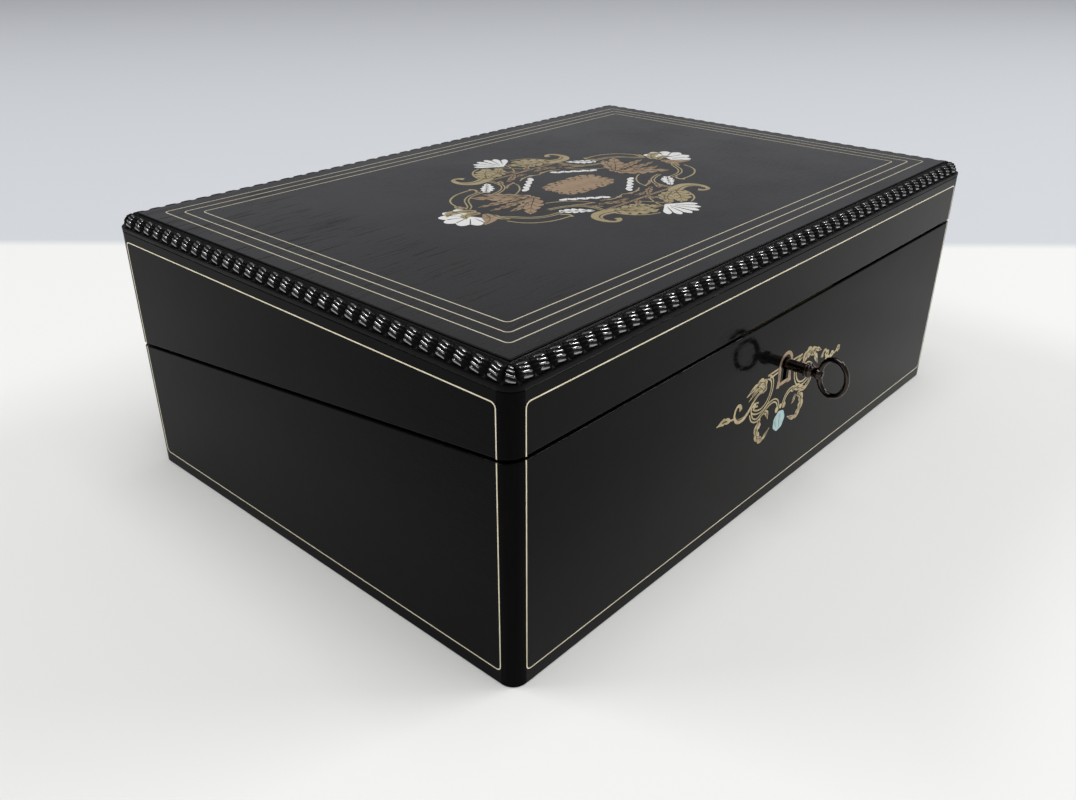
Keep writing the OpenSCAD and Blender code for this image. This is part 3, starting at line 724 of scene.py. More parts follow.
# middle cartouche
PLATE_X, PLATE_Y = 16.8, 10.0
SQUARENESS = 3.4  # 2 is an ellipse
cartouche = []
for a in np.linspace(0, 2 * math.pi, 289)[:-1]:
    reach = (abs(math.cos(a)) ** SQUARENESS + abs(math.sin(a)) ** SQUARENESS) ** (-1 / SQUARENESS)
    scallop = 0.91 + 0.09 * abs(math.sin(8.5 * a)) ** 0.7 - 0.05 * abs(math.cos(2 * a)) ** 8
    cartouche.append((PLATE_X * reach * scallop * math.cos(a), PLATE_Y * reach * scallop * math.sin(a)))
copper.add([cartouche], ONE)
for u, v, turn in ((-14.2, 2.6, 150), (-13.0, 5.8, 125), (-9.8, 7.0, 100), (-6.2, 6.9, 60), (-2.4, 7.1, 95)):
    tilt = math.radians(turn)
    du, dv = 2.0 * math.cos(tilt), 2.0 * math.sin(tilt)
    dark.line([(u, v), (u + du * 0.5, v + dv * 0.5 + 0.4), (u + du, v + dv)], [0.3, 1.1, 0.5], FOUR)
for u, v in ((-11.5, 4.7), (-8.0, 5.5), (-4.3, 5.8)):
    dark.add([disc(u, v, 0.5)], FOUR)
dark.line([(-15.8, 0), (-13.2, 0)], [0.3, 0.9], BOTH)

# twisted ribbons of pearl
start, end = np.array([-23.2, 9.2]), np.array([-6.2, 21.2])
run = (end - start) / np.linalg.norm(end - start)
across_run = np.array([-run[1], run[0]])
ribbon = [tuple(start + (end - start) * t + across_run * 0.42 * math.sin(t * 9 * math.pi))
          for t in np.linspace(0, 1, 19)]
white.line(ribbon, [1.6, 2.5, 1.8, 2.6, 1.7, 2.6, 1.7, 2.6, 1.8, 2.6, 1.5], steps=3)
for t in (0.16, 0.34, 0.52, 0.7, 0.86):
    p = start + (end - start) * t
    dark.line([tuple(p + (-0.7, 0.8)), tuple(p + (0.5, -0.7))], [0.22, 0.3])

# palmettes of rose copper on both sides of the middle
PALMETTE = (
    ([(-27.0, 2.2), (-33.0, 6.5), (-39.0, 11.5), (-45.5, 17.8)], 11.0, 5),
    ([(-28.0, 4.0), (-32.5, 9.5), (-36.0, 14.5), (-38.5, 18.2)], 6.4, 4),
    ([(-31.0, 2.6), (-38.0, 4.6), (-45.0, 5.6), (-52.6, 6.6)], 5.0, 5),
    ([(-31.0, 1.2), (-38.0, 0.6), (-45.0, -0.2), (-52.4, 0.2)], 4.6, 5),
    ([(-27.0, 0.6), (-33.0, -4.0), (-39.0, -8.5), (-45.0, -13.8)], 10.6, 5),
    ([(-34.0, -2.4), (-38.5, -4.5), (-43.0, -5.6), (-47.6, -5.8)], 4.4, 3),
    ([(-33.0, 1.5), (-30.0, 1.5), (-26.0, 1.4)], 6.0, 2),
)
leaves(copper, PALMETTE, BOTH)
dark.line([(-43.5, 2.9), (-38, 2.2), (-33, 1.8), (-28.8, 1.7)], [0.5, 1.1, 1.0, 0.4], BOTH)

# shells and calyx leaves at the left and right ends
white.add([fan(-62.6, 0.6, 176, 232, 12.2, 7)], BOTH)
dark.add(fan_lines(-62.6, 0.6, 176, 232, 11.0, 7), BOTH)
brass_level, copper_level = brass.height, copper.height
brass.height = copper.height = white.height + 0.001  # these leaves lie over the shells
for inlay, spine, width, lobes in (
    (brass, [(-56.6, 3.4), (-60.6, 7.4), (-65.4, 8.6), (-69.2, 6.2)], 6.4, 2),
    (brass, [(-57.0, 1.0), (-61.0, 2.6), (-64.4, 1.6), (-66.0, -1.0)], 5.2, 2),
    (copper, [(-56.6, -1.2), (-58.6, -5.6), (-62.4, -9.0), (-66.2, -10.4)], 6.6, 1),
    (brass, [(-56.4, 9.4), (-57.6, 11.8), (-57.2, 14.8)], 3.8, 2),
    (brass, [(-55.6, -4.6), (-56.2, -8.4), (-54.6, -12.6)], 4.2, 2),
):
    leaves(inlay, [(spine, width, lobes)], BOTH, 0.8)
brass.height, copper.height = brass_level, copper_level

# scroll lines
brass.line([(-57.3, 13.2), (-55.6, 18.2), (-52.4, 22.2), (-47.2, 25.2), (-42.0, 26.4), (-37.0, 26.6)],
           [0.7, 0.75, 0.8, 0.7])
brass.line([(-37.0, 27.6), (-35.8, 25.8), (-36.4, 23.6), (-38.2, 22.6)], [1.6, 1.2, 1.1, 0.6])
brass.twin([(-56.6, 8.0), (-54.0, 9.8), (-51.8, 12.8), (-49.4, 16.2), (-46.2, 18.8), (-42.0, 20.5),
           (-35.6, 21.0)], 1.5, 0.62)
brass.twin([(-22.4, 31.0), (-22.0, 27.2), (-23.0, 22.4), (-26.2, 18.6), (-31.0, 16.2), (-36.2, 15.0)], 1.3,
           0.6)
brass.line([(-16.9, 22.4), (-18.4, 17.6), (-22.0, 13.2), (-26.4, 10.2), (-30.4, 8.4)], [0.5, 0.7, 0.6])
copper.line([(-22.8, 31.2), (0, 31.2)], [1.25])
dark.line([(-21.6, 31.2), (-2, 31.2)], [0.22])
copper.line([(-25.2, 17.6), (-21.4, 20.2), (-16.4, 21.6)], [0.8, 1.3, 0.7])
brass.line([(-12.8, 21.6), (-8.0, 23.8), (-3.0, 23.6), (0, 22.4)], [0.6, 0.8, 0.6])
copper.add([disc(-3.6, 23.9, 1.1, 0.1), disc(-9.2, 23.4, 0.8)])

# small leaves round the straps
leaves(copper, (
    ([(-22.0, 23.4), (-20.6, 25.6), (-18.4, 27.6)], 3.6, 2),
    ([(-17.2, 24.4), (-13.0, 26.4), (-9.4, 28.6), (-6.0, 31.4)], 3.6, 4),
    ([(-2.8, 27.2), (-5.6, 27.8), (-9.2, 26.8)], 2.6, 2),
    ([(-2.2, 32.6), (-5.0, 34.2), (-8.2, 36.8)], 3.4, 3),
), vein=0.8)
white_leaf = [(-35.2, 19.6), (-32.0, 22.4), (-28.6, 25.4), (-25.2, 29.0)]
white.add([leaf(white_leaf, 7.4, 5, (0.8, 1.0))])
dark.add(veins(white_leaf, 3.6, 5))

# brass acanthus scrolls and shells at the front and back
brass.line([(-26.8, 41.0), (-28.0, 43.0), (-30.4, 43.4), (-32.3, 41.4), (-32.6, 37.8), (-31.2, 34.8),
           (-28.0, 33.0), (-24.0, 33.2), (-20.0, 34.4), (-16.6, 36.6)],
           [3.0, 1.9, 1.6, 2.0, 3.2, 4.4, 5.0, 5.2, 5.6, 4.6])
dark.line([(-31.4, 39.4), (-31.0, 36.0), (-27.6, 34.0), (-23.0, 34.4), (-18.4, 36.2)],
          [0.15, 0.4, 0.5, 0.5, 0.2])
leaves(brass, (
    ([(-20.6, 33.6), (-16.6, 38.2), (-12.6, 42.6), (-7.4, 46.0)], 11.6, 5),
    ([(-17.8, 34.8), (-12.6, 36.6), (-7.2, 39.6), (-3.0, 44.0)], 9.4, 5),
    ([(-10.8, 35.0), (-8.6, 37.4), (-4.8, 39.4)], 3.6, 3),
))
brass.line([(-22.2, 32.6), (-22.0, 37.6), (-19.4, 43.0), (-15.4, 46.8), (-10.2, 48.8)], [0.5, 0.8, 0.8, 0.6])
brass.line([(-4.2, 32.6), (-1.2, 36.6), (1.4, 41.6), (2.4, 46.2)], [0.5, 0.7, 0.6])
white.add([fan(0, 43.4, 90, 116, 14.6, 6, 0.22)], TOP_BOTTOM)
dark.add(fan_lines(0, 43.4, 90, 116, 13.6, 6), TOP_BOTTOM)
dark.line([(0, 46.0), (0, 56.6)], [0.3, 0.9], TOP_BOTTOM)

brass.build("top_inlay_brass", inlay_brass, "lid", "line_brass", ["inlay_brass"])
copper.build("top_inlay_copper", inlay_copper, "lid", "rose_copper", ["inlay_copper"])
white.build("top_inlay_pearl", pearl, "lid", "pearl", ["inlay_pearl"])
dark.build("top_engraving", engraving, "lid", "ebonised_wood")


# ---------------------------------------------------------------- brass lines
def line_frame(inlay, outline, closed=True):
    """A fine line along an outline whose corners are already rounded."""
    points = outline + [outline[0]] if closed else outline
    points = np.array(points)
    run = np.gradient(points, axis=0)
    if closed:
        run[0] = run[-1] = points[1] - points[-2]
    run /= np.linalg.norm(run, axis=1)[:, None]
    side = np.stack([-run[:, 1], run[:, 0]], axis=1) * LINE_W / 2
    for i in range(len(points) - 1):
        (a, b), (at_a, at_b) = points[i:i + 2], side[i:i + 2]
        inlay.add([[tuple(corner) for corner in (a + at_a, a - at_a, b - at_b, b + at_b)]], ONE)
        inlay.height -= RISE


def side_outline(face, lid):
    """The line of one side: open at the joint, with two rounded corners away from it."""
    edge = half_of(face) - line_side
    inner = edge - LINE_R

    def end_at(s):
        """The end of the line at the joint."""
        rim = split(on_face(face, s, 0, 0)[1])
        return (s, rim + lid_gap + EDGE if lid else rim - EDGE)

    sign = 1 if lid else -1
    centre_z = line_top - LINE_R if lid else line_low + LINE_R
    turn = 0 if lid else 180
    return [end_at(sign * edge), *arc(sign * inner, centre_z, LINE_R, turn, turn + 90, 5),
            *arc(-sign * inner, centre_z, LINE_R, turn + 90, turn + 180, 5), end_at(-sign * edge)]


frames = Inlay(top_place, 0.03)
for inset in top_insets:
    line_frame(frames, rounded_frame(half_x - inset, half_y - inset, LINE_R, 5))
frames.build("top_lines", line_brass, "lid", "line_brass", ["lid_top_stringing"])

for is_lid in (False, True):
    part, body = names_of(is_lid)
    lines = Inlay(None, 0.03)
    for face in FACES:
        lines.place = lambda s, z, h, face=face: on_face(face, s, -h, z)
        line_frame(lines, side_outline(face, is_lid), closed=False)
    lines.build(f"{part}_lines", line_brass, body, "line_brass",
                ["lid_side_stringing" if is_lid else "base_stringing"])

# ---------------------------------------------------------------- escutcheon
SCROLL_SCALE = 0.95
SCROLL_UP = 1.2
SCROLL_MID = 50  # the height that the scrolls are scaled about
KEYHOLE_DRAWN = 57.5  # the keyhole's height where its frame is drawn


def scroll_place(u, v, h):
    """A point h in front of the front face, in the scale of the scrolls."""
    return front_place(SCROLL_SCALE * u, SCROLL_MID + SCROLL_UP + SCROLL_SCALE * (v - SCROLL_MID), h)


brass = Inlay(scroll_place, 0.024)
rose = Inlay(front_place, 0.030)
shine = Inlay(scroll_place, 0.034)
dark = Inlay(scroll_place, 0.042)
brass.add([leaf([(-39.6, 46.6), (-42.4, 47.6), (-45.2, 48.0), (-49.0, 47.6)], 3.8, 2)], ONE)
dark.line([(-41.6, 47.2), (-43.4, 47.7), (-45.4, 47.8)], [0.3, 0.9, 0.3], ONE)
brass.line([(-40.0, 46.6), (-36.4, 46.3)], [0.8], ONE)
brass.line([(-32.2, 48.2), (-33.0, 50.2), (-34.6, 50.9), (-36.2, 49.6), (-36.6, 47.0), (-35.2, 44.8),
           (-32.4, 43.6), (-29.2, 43.8), (-26.4, 45.4), (-23.0, 48.4), (-19.4, 50.3), (-15.6, 50.2)],
           [2.2, 1.6, 1.2, 1.1, 1.2, 1.7, 2.2, 2.1, 1.8, 1.4, 1.2, 0.9], BOTH)
dark.line([(-35.8, 46.8), (-34.0, 44.8), (-31.0, 44.2), (-27.4, 45.6), (-23.2, 48.8), (-18.0, 50.6)],
          [0.2, 0.45, 0.5, 0.4, 0.3, 0.15], BOTH)
for u, v, r in ((-36.6, 48.6, 1.7), (-41.6, 46.8, 1.5), (-47.2, 47.6, 1.6)):
    brass.add([disc(u, v, r, 0.12)], RIGHT)
    dark.add([disc(u, v, r * 0.3)], RIGHT)
brass.line([(-35.6, 47.8), (-39, 46.4), (-44, 46.6), (-48.4, 48.0)], [0.9, 1.1, 0.9, 0.5], RIGHT)
for spine, width, lobes, flips in (
    ([(-14.6, 49.8), (-15.6, 53.4), (-20.4, 55.0), (-28.6, 52.2)], 4.6, 4, ONE),
    ([(-15.4, 49.6), (-17.2, 51.6), (-21.0, 52.4), (-26.8, 49.6)], 3.4, 3, ONE),
    ([(-14.8, 50.0), (-17.4, 54.6), (-23.4, 54.0), (-28.6, 47.0)], 5.8, 5, RIGHT),
    ([(-20.6, 53.6), (-25.2, 54.4), (-30.8, 52.2)], 3.0, 3, RIGHT),
    ([(-13.6, 39.6), (-11.4, 39.0), (-9.8, 35.4)], 3.0, 2, ONE),
    ([(-8.0, 41.6), (-13.0, 41.4), (-18.4, 39.0), (-24.2, 40.6)], 3.8, 4, RIGHT),
    ([(-16.2, 38.2), (-18.4, 34.4), (-16.6, 29.6), (-12.6, 27.4), (-7.4, 30.6)], 4.4, 5, ONE),
    ([(-13.6, 38.2), (-17.2, 35.4), (-17.6, 30.6), (-13.6, 27.2), (-7.2, 29.8)], 5.0, 5, RIGHT),
    ([(-11.6, 38.6), (-11.2, 36.8), (-9.6, 34.8)], 2.8, 2, RIGHT),
):
    leaves(brass, [(spine, width, lobes)], flips)
brass.add([disc(-16.6, 35.2, 1.5, 0.1)], ONE)
brass.twin([(-13.4, 55.4), (-10.4, 53.6), (-9.2, 50.2), (-10.0, 46.6), (-12.6, 43.4), (-16.6, 42.0),
           (-20.8, 42.8), (-23.4, 44.6), (-22.0, 46.2), (-19.0, 45.6)], 1.5, 0.7, BOTH)
brass.twin([(-24.4, 43.4), (-22.6, 40.2), (-18.8, 38.6), (-14.6, 40.2), (-10.4, 42.2), (-6.2, 42.4),
           (-3.2, 40.6), (-2.0, 37.8)], 1.3, 0.65, BOTH)
brass.add([disc(-2.9, 37.0, 1.35), disc(-21.8, 46.0, 1.2)], BOTH)
brass.add([disc(0, 37.6, 1.1)], ONE)
brass.line([(-13.8, 56.0), (-5.8, 56.2)], [0.8], BOTH)
brass.line([(-12.0, 54.3), (-5.8, 54.7)], [0.8], BOTH)
at_keyhole = (0, key_axis_z - KEYHOLE_DRAWN)
ARCH_R = 4.35
arch = [(ARCH_R * math.sin(a), 57.4 + ARCH_R * math.cos(a))
        for a in np.linspace(-0.62 * math.pi, 0.62 * math.pi, 17)]
rose.line(arch, [1.5], ONE, at_keyhole, steps=2)
rose.line([(-4.3, 56.4), (-4.0, 52.0), (-4.4, 48.4)], [2.0, 1.7, 2.5], BOTH, at_keyhole)
rose.line([(-4.0, 49.6), (4.0, 49.6)], [1.5], ONE, at_keyhole)
dark.line([(-4.5, 55.4), (-4.3, 50.0)], [0.3], BOTH, at_keyhole)
shine.add([disc(0, 30.9, 4.5, 0.04, 7)], ONE)
dark.line([(-2.6, 33.0), (-3.0, 30.6), (-1.4, 28.2)], [0.15, 0.3, 0.15], ONE)
dark.line([(0.4, 34.2), (0.2, 31.0), (0.8, 27.6)], [0.15, 0.3, 0.15], ONE)
brass.build("escutcheon_scrolls", inlay_brass, "case", "line_brass", ["escutcheon_brass"])
rose.build("escutcheon_keyhole_frame", inlay_copper, "case", "rose_copper", ["keyhole_frame"])
shine.build("escutcheon_drop", abalone, "case", "abalone", ["escutcheon_pearl"])
dark.build("escutcheon_engraving", engraving, "case", "ebonised_wood")

# ---------------------------------------------------------------- key
key_low, key_high = box_mm("key")
key_tip = key_high[1]


def lathe(profile, place, steps=40):
    """Rings of a turned shape; profile is distance along the axis and radius."""
    verts = []
    for at, r in profile:
        for k in range(steps):
            a = 2 * math.pi * k / steps
            verts.append(place(at, r * math.cos(a), r * math.sin(a)))
    faces = tube_faces(len(profile), steps)
    faces += [tuple(range(steps)), tuple(reversed(range(len(verts) - steps, len(verts))))]
    return verts, faces


def turned(rows):
    """A smooth profile through the rows; a row is the distance back from the bow, and the radius."""
    line, _ = smooth_line([(bow_start - back, r) for back, r in rows], 6)
    return [tuple(p) for p in line]


TUBE = 1.02  # radius of the bow's wire
BOW_ALONG, BOW_ACROSS = 5.4, 7.13
bow_y = key_low[1] + BOW_ALONG + TUBE
bow_start = key_tip - (bow_y + BOW_ALONG - TUBE)
shank = [(0, 1.75), (0.35, 2.1), (bow_start - 6.6, 2.1)]
collar = turned([(6.5, 2.25), (6.2, 2.75), (5.7, 2.82), (5.3, 2.4), (5.0, 2.75), (4.5, 2.8), (4.0, 2.3),
                 (3.6, 1.9)])
neck = turned([(3.5, 1.85), (2.6, 1.95), (1.6, 2.2), (0.6, 2.0), (-0.1, 1.5), (-0.6, 0.7)])
key_verts, key_faces = lathe(shank + collar + neck, lambda t, a, b: (a, key_tip - t, key_axis_z + b))
steps, round_steps = 72, 18
first = len(key_verts)
for i in range(steps):
    a = 2 * math.pi * i / steps
    tube = TUBE * (1 + 0.12 * max(0.0, math.cos(a)) ** 6)
    for j in range(round_steps):
        b = 2 * math.pi * j / round_steps
        out = tube * math.cos(b) - (tube - TUBE)
        key_verts.append((tube * math.sin(b), bow_y + (BOW_ALONG + out) * math.cos(a),
                          key_axis_z + (BOW_ACROSS + out) * math.sin(a)))
key_faces += renumbered(tube_faces(steps, round_steps, closed=True), first)
bit_low, bit_top = key_low[2], key_axis_z - 1.2
bit = [(0.4, bit_low + 1.6), (0.4, bit_top), (3.4, bit_top), (3.4, bit_low + 0.3), (3.1, bit_low),
       (2.4, bit_low), (2.4, bit_low + 1.6)]
bit_verts, bit_faces = prism(bit[::-1], lambda back, z, x: (x, key_tip - back, z), -1.0, 1.0)
key_faces += renumbered(bit_faces, len(key_verts))
key_verts += bit_verts
make("key_turned", key_verts, key_faces, steel, "key", "dark_steel", ["key"], 40)


# ---------------------------------------------------------------- soft inside
velvet = cloth_look("crimson velvet", (0.16, 0.006, 0.02), (0.30, 0.016, 0.045), 0.0005, 0.9)
satin = cloth_look("crimson satin", (0.26, 0.010, 0.03), (0.36, 0.022, 0.055), 0.0004, 0.35, 0.42)
baize = cloth_look("dark green baize", (0.012, 0.05, 0.028), (0.022, 0.075, 0.042), 0.0007, 0.5)
gilt = metal("gilt braid", (0.80, 0.58, 0.24), (0.50, 0.32, 0.12), 0.38, 0.8)


def ripple(x, y, seed):
    """A smooth, uneven wave between -1 and 1, the same each run."""
    return (math.sin(x * 0.31 + seed * 1.7 + 1.3 * math.sin(y * 0.11 + seed))
            + math.sin(y * 0.27 + seed * 2.9 + 1.1 * math.sin(x * 0.13 - seed))
            + 0.5 * math.sin((x + y) * 0.63 + seed * 4.1)) / 2.5


def pad_mesh(low, high, r, cell, crown, seed, facing=1):
    """A closed pad with round edges, a crowned face and slight unevenness, inside the given box."""
    size = [high[i] - low[i] for i in range(3)]
    middle = [(high[i] + low[i]) / 2 for i in range(3)]
    counts = [max(2, round(size[0] / cell)), max(2, round(size[1] / cell)), 5]
    index, verts, faces = {}, [], []

    def corner(i, j, k):
        if (i, j, k) not in index:
            p = [((i, j, k)[n] / counts[n] - 0.5) * size[n] for n in range(3)]
            inner = [max(-size[n] / 2 + r, min(size[n] / 2 - r, p[n])) for n in range(3)]
            away = Vector([p[n] - inner[n] for n in range(3)])
            if away.length > 1e-6:
                away.normalize()
                p = [inner[n] + r * away[n] for n in range(3)]
            a, b = 2 * p[0] / size[0], 2 * p[1] / size[1]
            if p[2] * facing > 0:
                bowl = (1 - a ** 4) * (1 - b ** 4)
                p[2] -= facing * crown * (1 - bowl + 0.3 * (ripple(p[0], p[1], seed) + 1) * bowl)
            index[i, j, k] = len(verts)
            verts.append(tuple(middle[n] + p[n] for n in range(3)))
        return index[i, j, k]

    for u, v, w in ((0, 1, 2), (1, 2, 0), (2, 0, 1)):
        for side in (0, counts[w]):
            for i in range(counts[u]):
                for j in range(counts[v]):
                    quad = []
                    for di, dj in ((0, 0), (1, 0), (1, 1), (0, 1)):
                        cell_at = [0, 0, 0]
                        cell_at[u], cell_at[v], cell_at[w] = i + di, j + dj, side
                        quad.append(corner(*cell_at))
                    faces.append(tuple(quad if side else quad[::-1]))
    return verts, faces


def soft(name, verts, faces, look, body, slot, replaced, fill):
    """A padded piece."""
    obj = make(name, verts, faces, look, body, slot, replaced, smooth=80)


floor_low, floor_high = box_mm("base_floor_pad")
soft("floor_cushion", *pad_mesh(floor_low, floor_high, 1.1, 3.5, 0.9, 1), velvet, "case", "velvet",
     ["base_floor_pad"], 0.6)

tray_low, tray_high = box_mm("tray_pads")
PAD_GAP = 0.2  # between a cushion and the wood round it
PAD_RISE = 1.4  # how far a cushion stands over its CAD pad
pad_rows = ((tray_low[1], -28.55, (-135.0, -69.2), (-66.1, -1.55), (1.55, 66.1), (69.2, 135.0)),
            (-25.45, tray_high[1], (-135.0, -46.65), (-43.55, 43.55), (46.65, 135.0)))
number = 0
for start_y, end_y, *spans in pad_rows:
    for start_x, end_x in spans:
        number += 1
        pad = pad_mesh((start_x + PAD_GAP, start_y + PAD_GAP, tray_low[2]),
                       (end_x - PAD_GAP, end_y - PAD_GAP, tray_high[2] + PAD_RISE), 1.0, 3.0, 0.7, number + 3)
        soft(f"tray_cushion_{number}", *pad, velvet, "tray", "velvet",
             ["tray_pads"] if number == 1 else (), 0.7)

roll_low, roll_high = box_mm("ring_rolls")
ROLLS = 5
roll_r = (roll_high[1] - roll_low[1]) / ROLLS / 2
half_len = roll_high[0]
for n in range(ROLLS):
    centre_y = roll_low[1] + roll_r * (2 * n + 1)
    centre_z = (roll_low[2] + roll_high[2]) / 2
    profile = [(-half_len, 0.2), (-half_len + 0.15, 2.4), (-half_len + 0.9, 4.1), (-half_len + 2.2, 4.9)]
    at = -half_len + 5
    while at < half_len - 4:
        profile.append((at, roll_r - 0.12 - 0.10 * (1 + ripple(at * 0.9, n * 9, n))))
        at += 3.0
    profile += [(-t, r) for t, r in profile[3::-1]]
    verts, faces = lathe(profile, lambda t, a, b, y=centre_y, z=centre_z: (t, y + a * 0.995, z + b), 28)
    soft(f"ring_roll_{n + 1}", verts, faces, velvet, "tray", "velvet", ["ring_rolls"] if n == 0 else (), 0.9)


def two_sheets(columns, rows):
    """Faces of two layers of (columns + 1) by (rows + 1) points, joined round their rim."""
    grid = rows + 1
    size = (columns + 1) * grid
    faces = []
    for i in range(columns):
        for j in range(rows):
            a = i * grid + j
            b = a + size
            faces.append((a, a + 1, a + grid + 1, a + grid))
            faces.append((b, b + grid, b + grid + 1, b + 1))
    rim = ([i * grid for i in range(columns + 1)] + [columns * grid + j for j in range(1, rows + 1)]
           + [i * grid + rows for i in range(columns - 1, -1, -1)] + list(range(rows - 1, 0, -1)))
    for a, b in zip(rim, rim[1:] + rim[:1]):
        faces.append((a, b, b + size, a + size))
    return faces


def lining(lid, face, bottom_of, top_of, seed):
    """A satin panel with soft upright folds, fixed to the inner face of a wall."""
    part, body = names_of(lid)
    thick = 1.1
    reach = half_of(face) - wall - (0 if is_long(face) else thick)
    columns, rows = round(2 * reach / 2.2), 14
    verts = []
    for layer in (0, 1):
        for i in range(columns + 1):
            s = -reach + 2 * reach * i / columns
            y = on_face(face, s, wall, 0)[1]
            for j in range(rows + 1):
                t = j / rows
                z = bottom_of(y) + (top_of(y) - bottom_of(y)) * t
                bend = 1.6 * math.sin(s * 0.11 + seed) + 0.5 * math.sin(t * 4 + s * 0.05)
                fold = 0.5 + 0.5 * math.sin(s * 0.72 + bend)
                edge = min(1.0, 12 * (1 - t) + 0.35, 12 * t + 0.35)
                verts.append(on_face(face, s, wall + layer * thick * edge * (0.62 + 0.36 * fold), z))
    soft(f"{part}_satin_{face}", verts, two_sheets(columns, rows), satin, body, "satin",
         [f"{part}_lining"] if face == "front" else (), 0.3)


def low_edge(y):
    return floor_low[2] + 0.2


cushion_low, cushion_high = box_mm("lid_pad")
for n, face in enumerate(FACES):
    if face != "front":
        lining(False, face, low_edge, lambda y: split(y) - 1.6, n)
lining(False, "front", low_edge, lambda y: cover_low[2] - 1.0, 9)
for n, face in enumerate(FACES):
    lining(True, face, lambda y: split(y) + lid_gap + 1.6, lambda y: cushion_high[2] - 0.1, n + 4)

# buttoned cushion of the lid
COLUMNS, ROWS = 6, 4
DX = 2 * cushion_high[0] / COLUMNS
DY = 2 * cushion_high[1] / ROWS
BUTTONS = [(-cushion_high[0] + (col + (row % 2) / 2) * DX, -cushion_high[1] + row * DY)
           for row in range(1, ROWS) for col in range(COLUMNS) if row % 2 or col > 0]
button_top = box_mm("lid_pad_buttons")[1][2]


def button_distance(x, y):
    return min(math.hypot(x - bx, y - by) for bx, by in BUTTONS)


def tuft(x, y):
    """Fullness of the cushion, 0 to 1: it is pulled in at the buttons and along the creases."""
    a = x / DX * 2 + y / DY
    b = x / DX * 2 - y / DY
    crease = abs(math.sin(math.pi * (a + 1) / 2)) * abs(math.sin(math.pi * (b + 1) / 2))
    near = button_distance(x, y)
    edge = min(cushion_high[0] - abs(x), cushion_high[1] - abs(y))
    round_edge = min(1.0, max(0.0, edge / 12)) ** 0.5
    inside = min(1.0, crease * 1.25) ** 0.55
    past_x = (abs(x) - cushion_high[0] + DX / 2) / (DX / 2)
    past_y = (abs(y) - cushion_high[1] + DY) / DY
    if past_x > 0 or past_y > 0:
        inside = max(inside, 0.75 * min(1.0, max(past_x, past_y)))
    return round_edge * (0.12 + 0.88 * inside) * (1 - 0.8 * math.exp(-((near / 5.5) ** 2)))


def cushion_mesh():
    """The cushion before it is filled, and the points that the cloth is sewn down at."""
    cell = 4.4
    hx, hy = cushion_high[0] - 0.4, cushion_high[1] - 0.4
    nx, ny = round(2 * hx / cell), round(2 * hy / cell)
    verts, pinned = [], []
    for layer in (0, 1):
        for i in range(nx + 1):
            for j in range(ny + 1):
                x, y = -hx + 2 * hx * i / nx, -hy + 2 * hy * j / ny
                if layer or i in (0, nx) or j in (0, ny) or button_distance(x, y) < cell * 0.72:
                    pinned.append(len(verts))
                lift = tuft(x, y) + 0.035 * ripple(x * 2.3, y * 2.1, 5)
                verts.append((x, y, cushion_high[2] - 0.2 if layer else 98.2 - 5.4 * max(0.0, lift)))
    return verts, two_sheets(nx, ny), pinned


CLOTH = {"quality": 6, "mass": 0.2, "tension_stiffness": 8, "compression_stiffness": 8, "shear_stiffness": 3,
         "bending_stiffness": 0.02, "use_pressure": True, "uniform_pressure_force": 4, "shrink_min": -0.09,
         "vertex_group_mass": "pin"}
STRETCH_LIMIT = 0.005  # the simulation moves no point further than this, in metres


def inflate(obj, pinned, frames=22):
    """Cloth simulation under pressure, applied to the mesh and kept within the CAD solid's room."""
    group = obj.vertex_groups.new(name="pin")
    group.add(pinned, 1.0, "REPLACE")
    rest = np.array([v.co for v in obj.data.vertices])
    cloth = obj.modifiers.new("cloth", "CLOTH")
    for name, value in CLOTH.items():
        setattr(cloth.settings, name, value)
    cloth.settings.effector_weights.gravity = 0
    cloth.collision_settings.use_collision = False
    scene = bpy.context.scene
    cloth.point_cache.frame_start, cloth.point_cache.frame_end = 1, frames
    for number in range(1, frames + 1):
        scene.frame_set(number)
    shape = obj.evaluated_get(bpy.context.evaluated_depsgraph_get()).to_mesh()
    moved = np.array([v.co for v in shape.vertices])
    obj.modifiers.clear()
    scene.frame_set(1)
    step = moved - rest
    far = np.linalg.norm(step, axis=1)[:, None]
    moved = rest + step * np.minimum(1.0, STRETCH_LIMIT / np.maximum(far, 1e-9))
    lowest = np.array([-cushion_high[0], -cushion_high[1], cushion_low[2] - 1.0]) * MM
    moved = np.clip(moved, lowest, np.array(cushion_high) * MM)
    obj.data.vertices.foreach_set("co", moved.astype(np.float32).ravel())
    obj.vertex_groups.clear()


verts, faces, pinned = cushion_mesh()
cushion = make("lid_cushion", verts, faces, satin, "lid", "satin", ["lid_pad"], smooth=0)
inflate(cushion, pinned)
cushion.data.shade_smooth()
finer = cushion.modifiers.new("finer", "SUBSURF")
finer.levels = finer.render_levels = 1

dome = [(0, 3.2), (0.35, 3.15), (0.8, 2.7), (1.15, 1.8), (1.35, 0.9), (1.4, 0.1)]
verts, faces = [], []
for x, y in BUTTONS:
    button = lathe(dome, lambda t, a, b, x=x, y=y: (x + a, y + b, button_top - t), 20)
    faces += renumbered(button[1], len(verts))
    verts += button[0]
buttons = make("lid_buttons", verts, faces, satin, "lid", "satin", ["lid_pad_buttons"])

# twisted braid round the cushion
braid_low, braid_high = box_mm("lid_pad_braid")
braid_z = (braid_low[2] + braid_high[2]) / 2
path = rounded_frame(braid_high[0] - 1.5, braid_high[1] - 1.5, 4.0, 6)
path = np.array(path + [path[0]])
lengths = np.concatenate([[0], np.cumsum(np.linalg.norm(np.diff(path, axis=0), axis=1))])
TURNS = round(lengths[-1] / 7.0)
STRAND_R, STRAND_OFF, ROUND = 0.78, 0.68, 8
samples = TURNS * 10


def along_path(at):
    return np.interp(at, lengths, path[:, 0]), np.interp(at, lengths, path[:, 1])


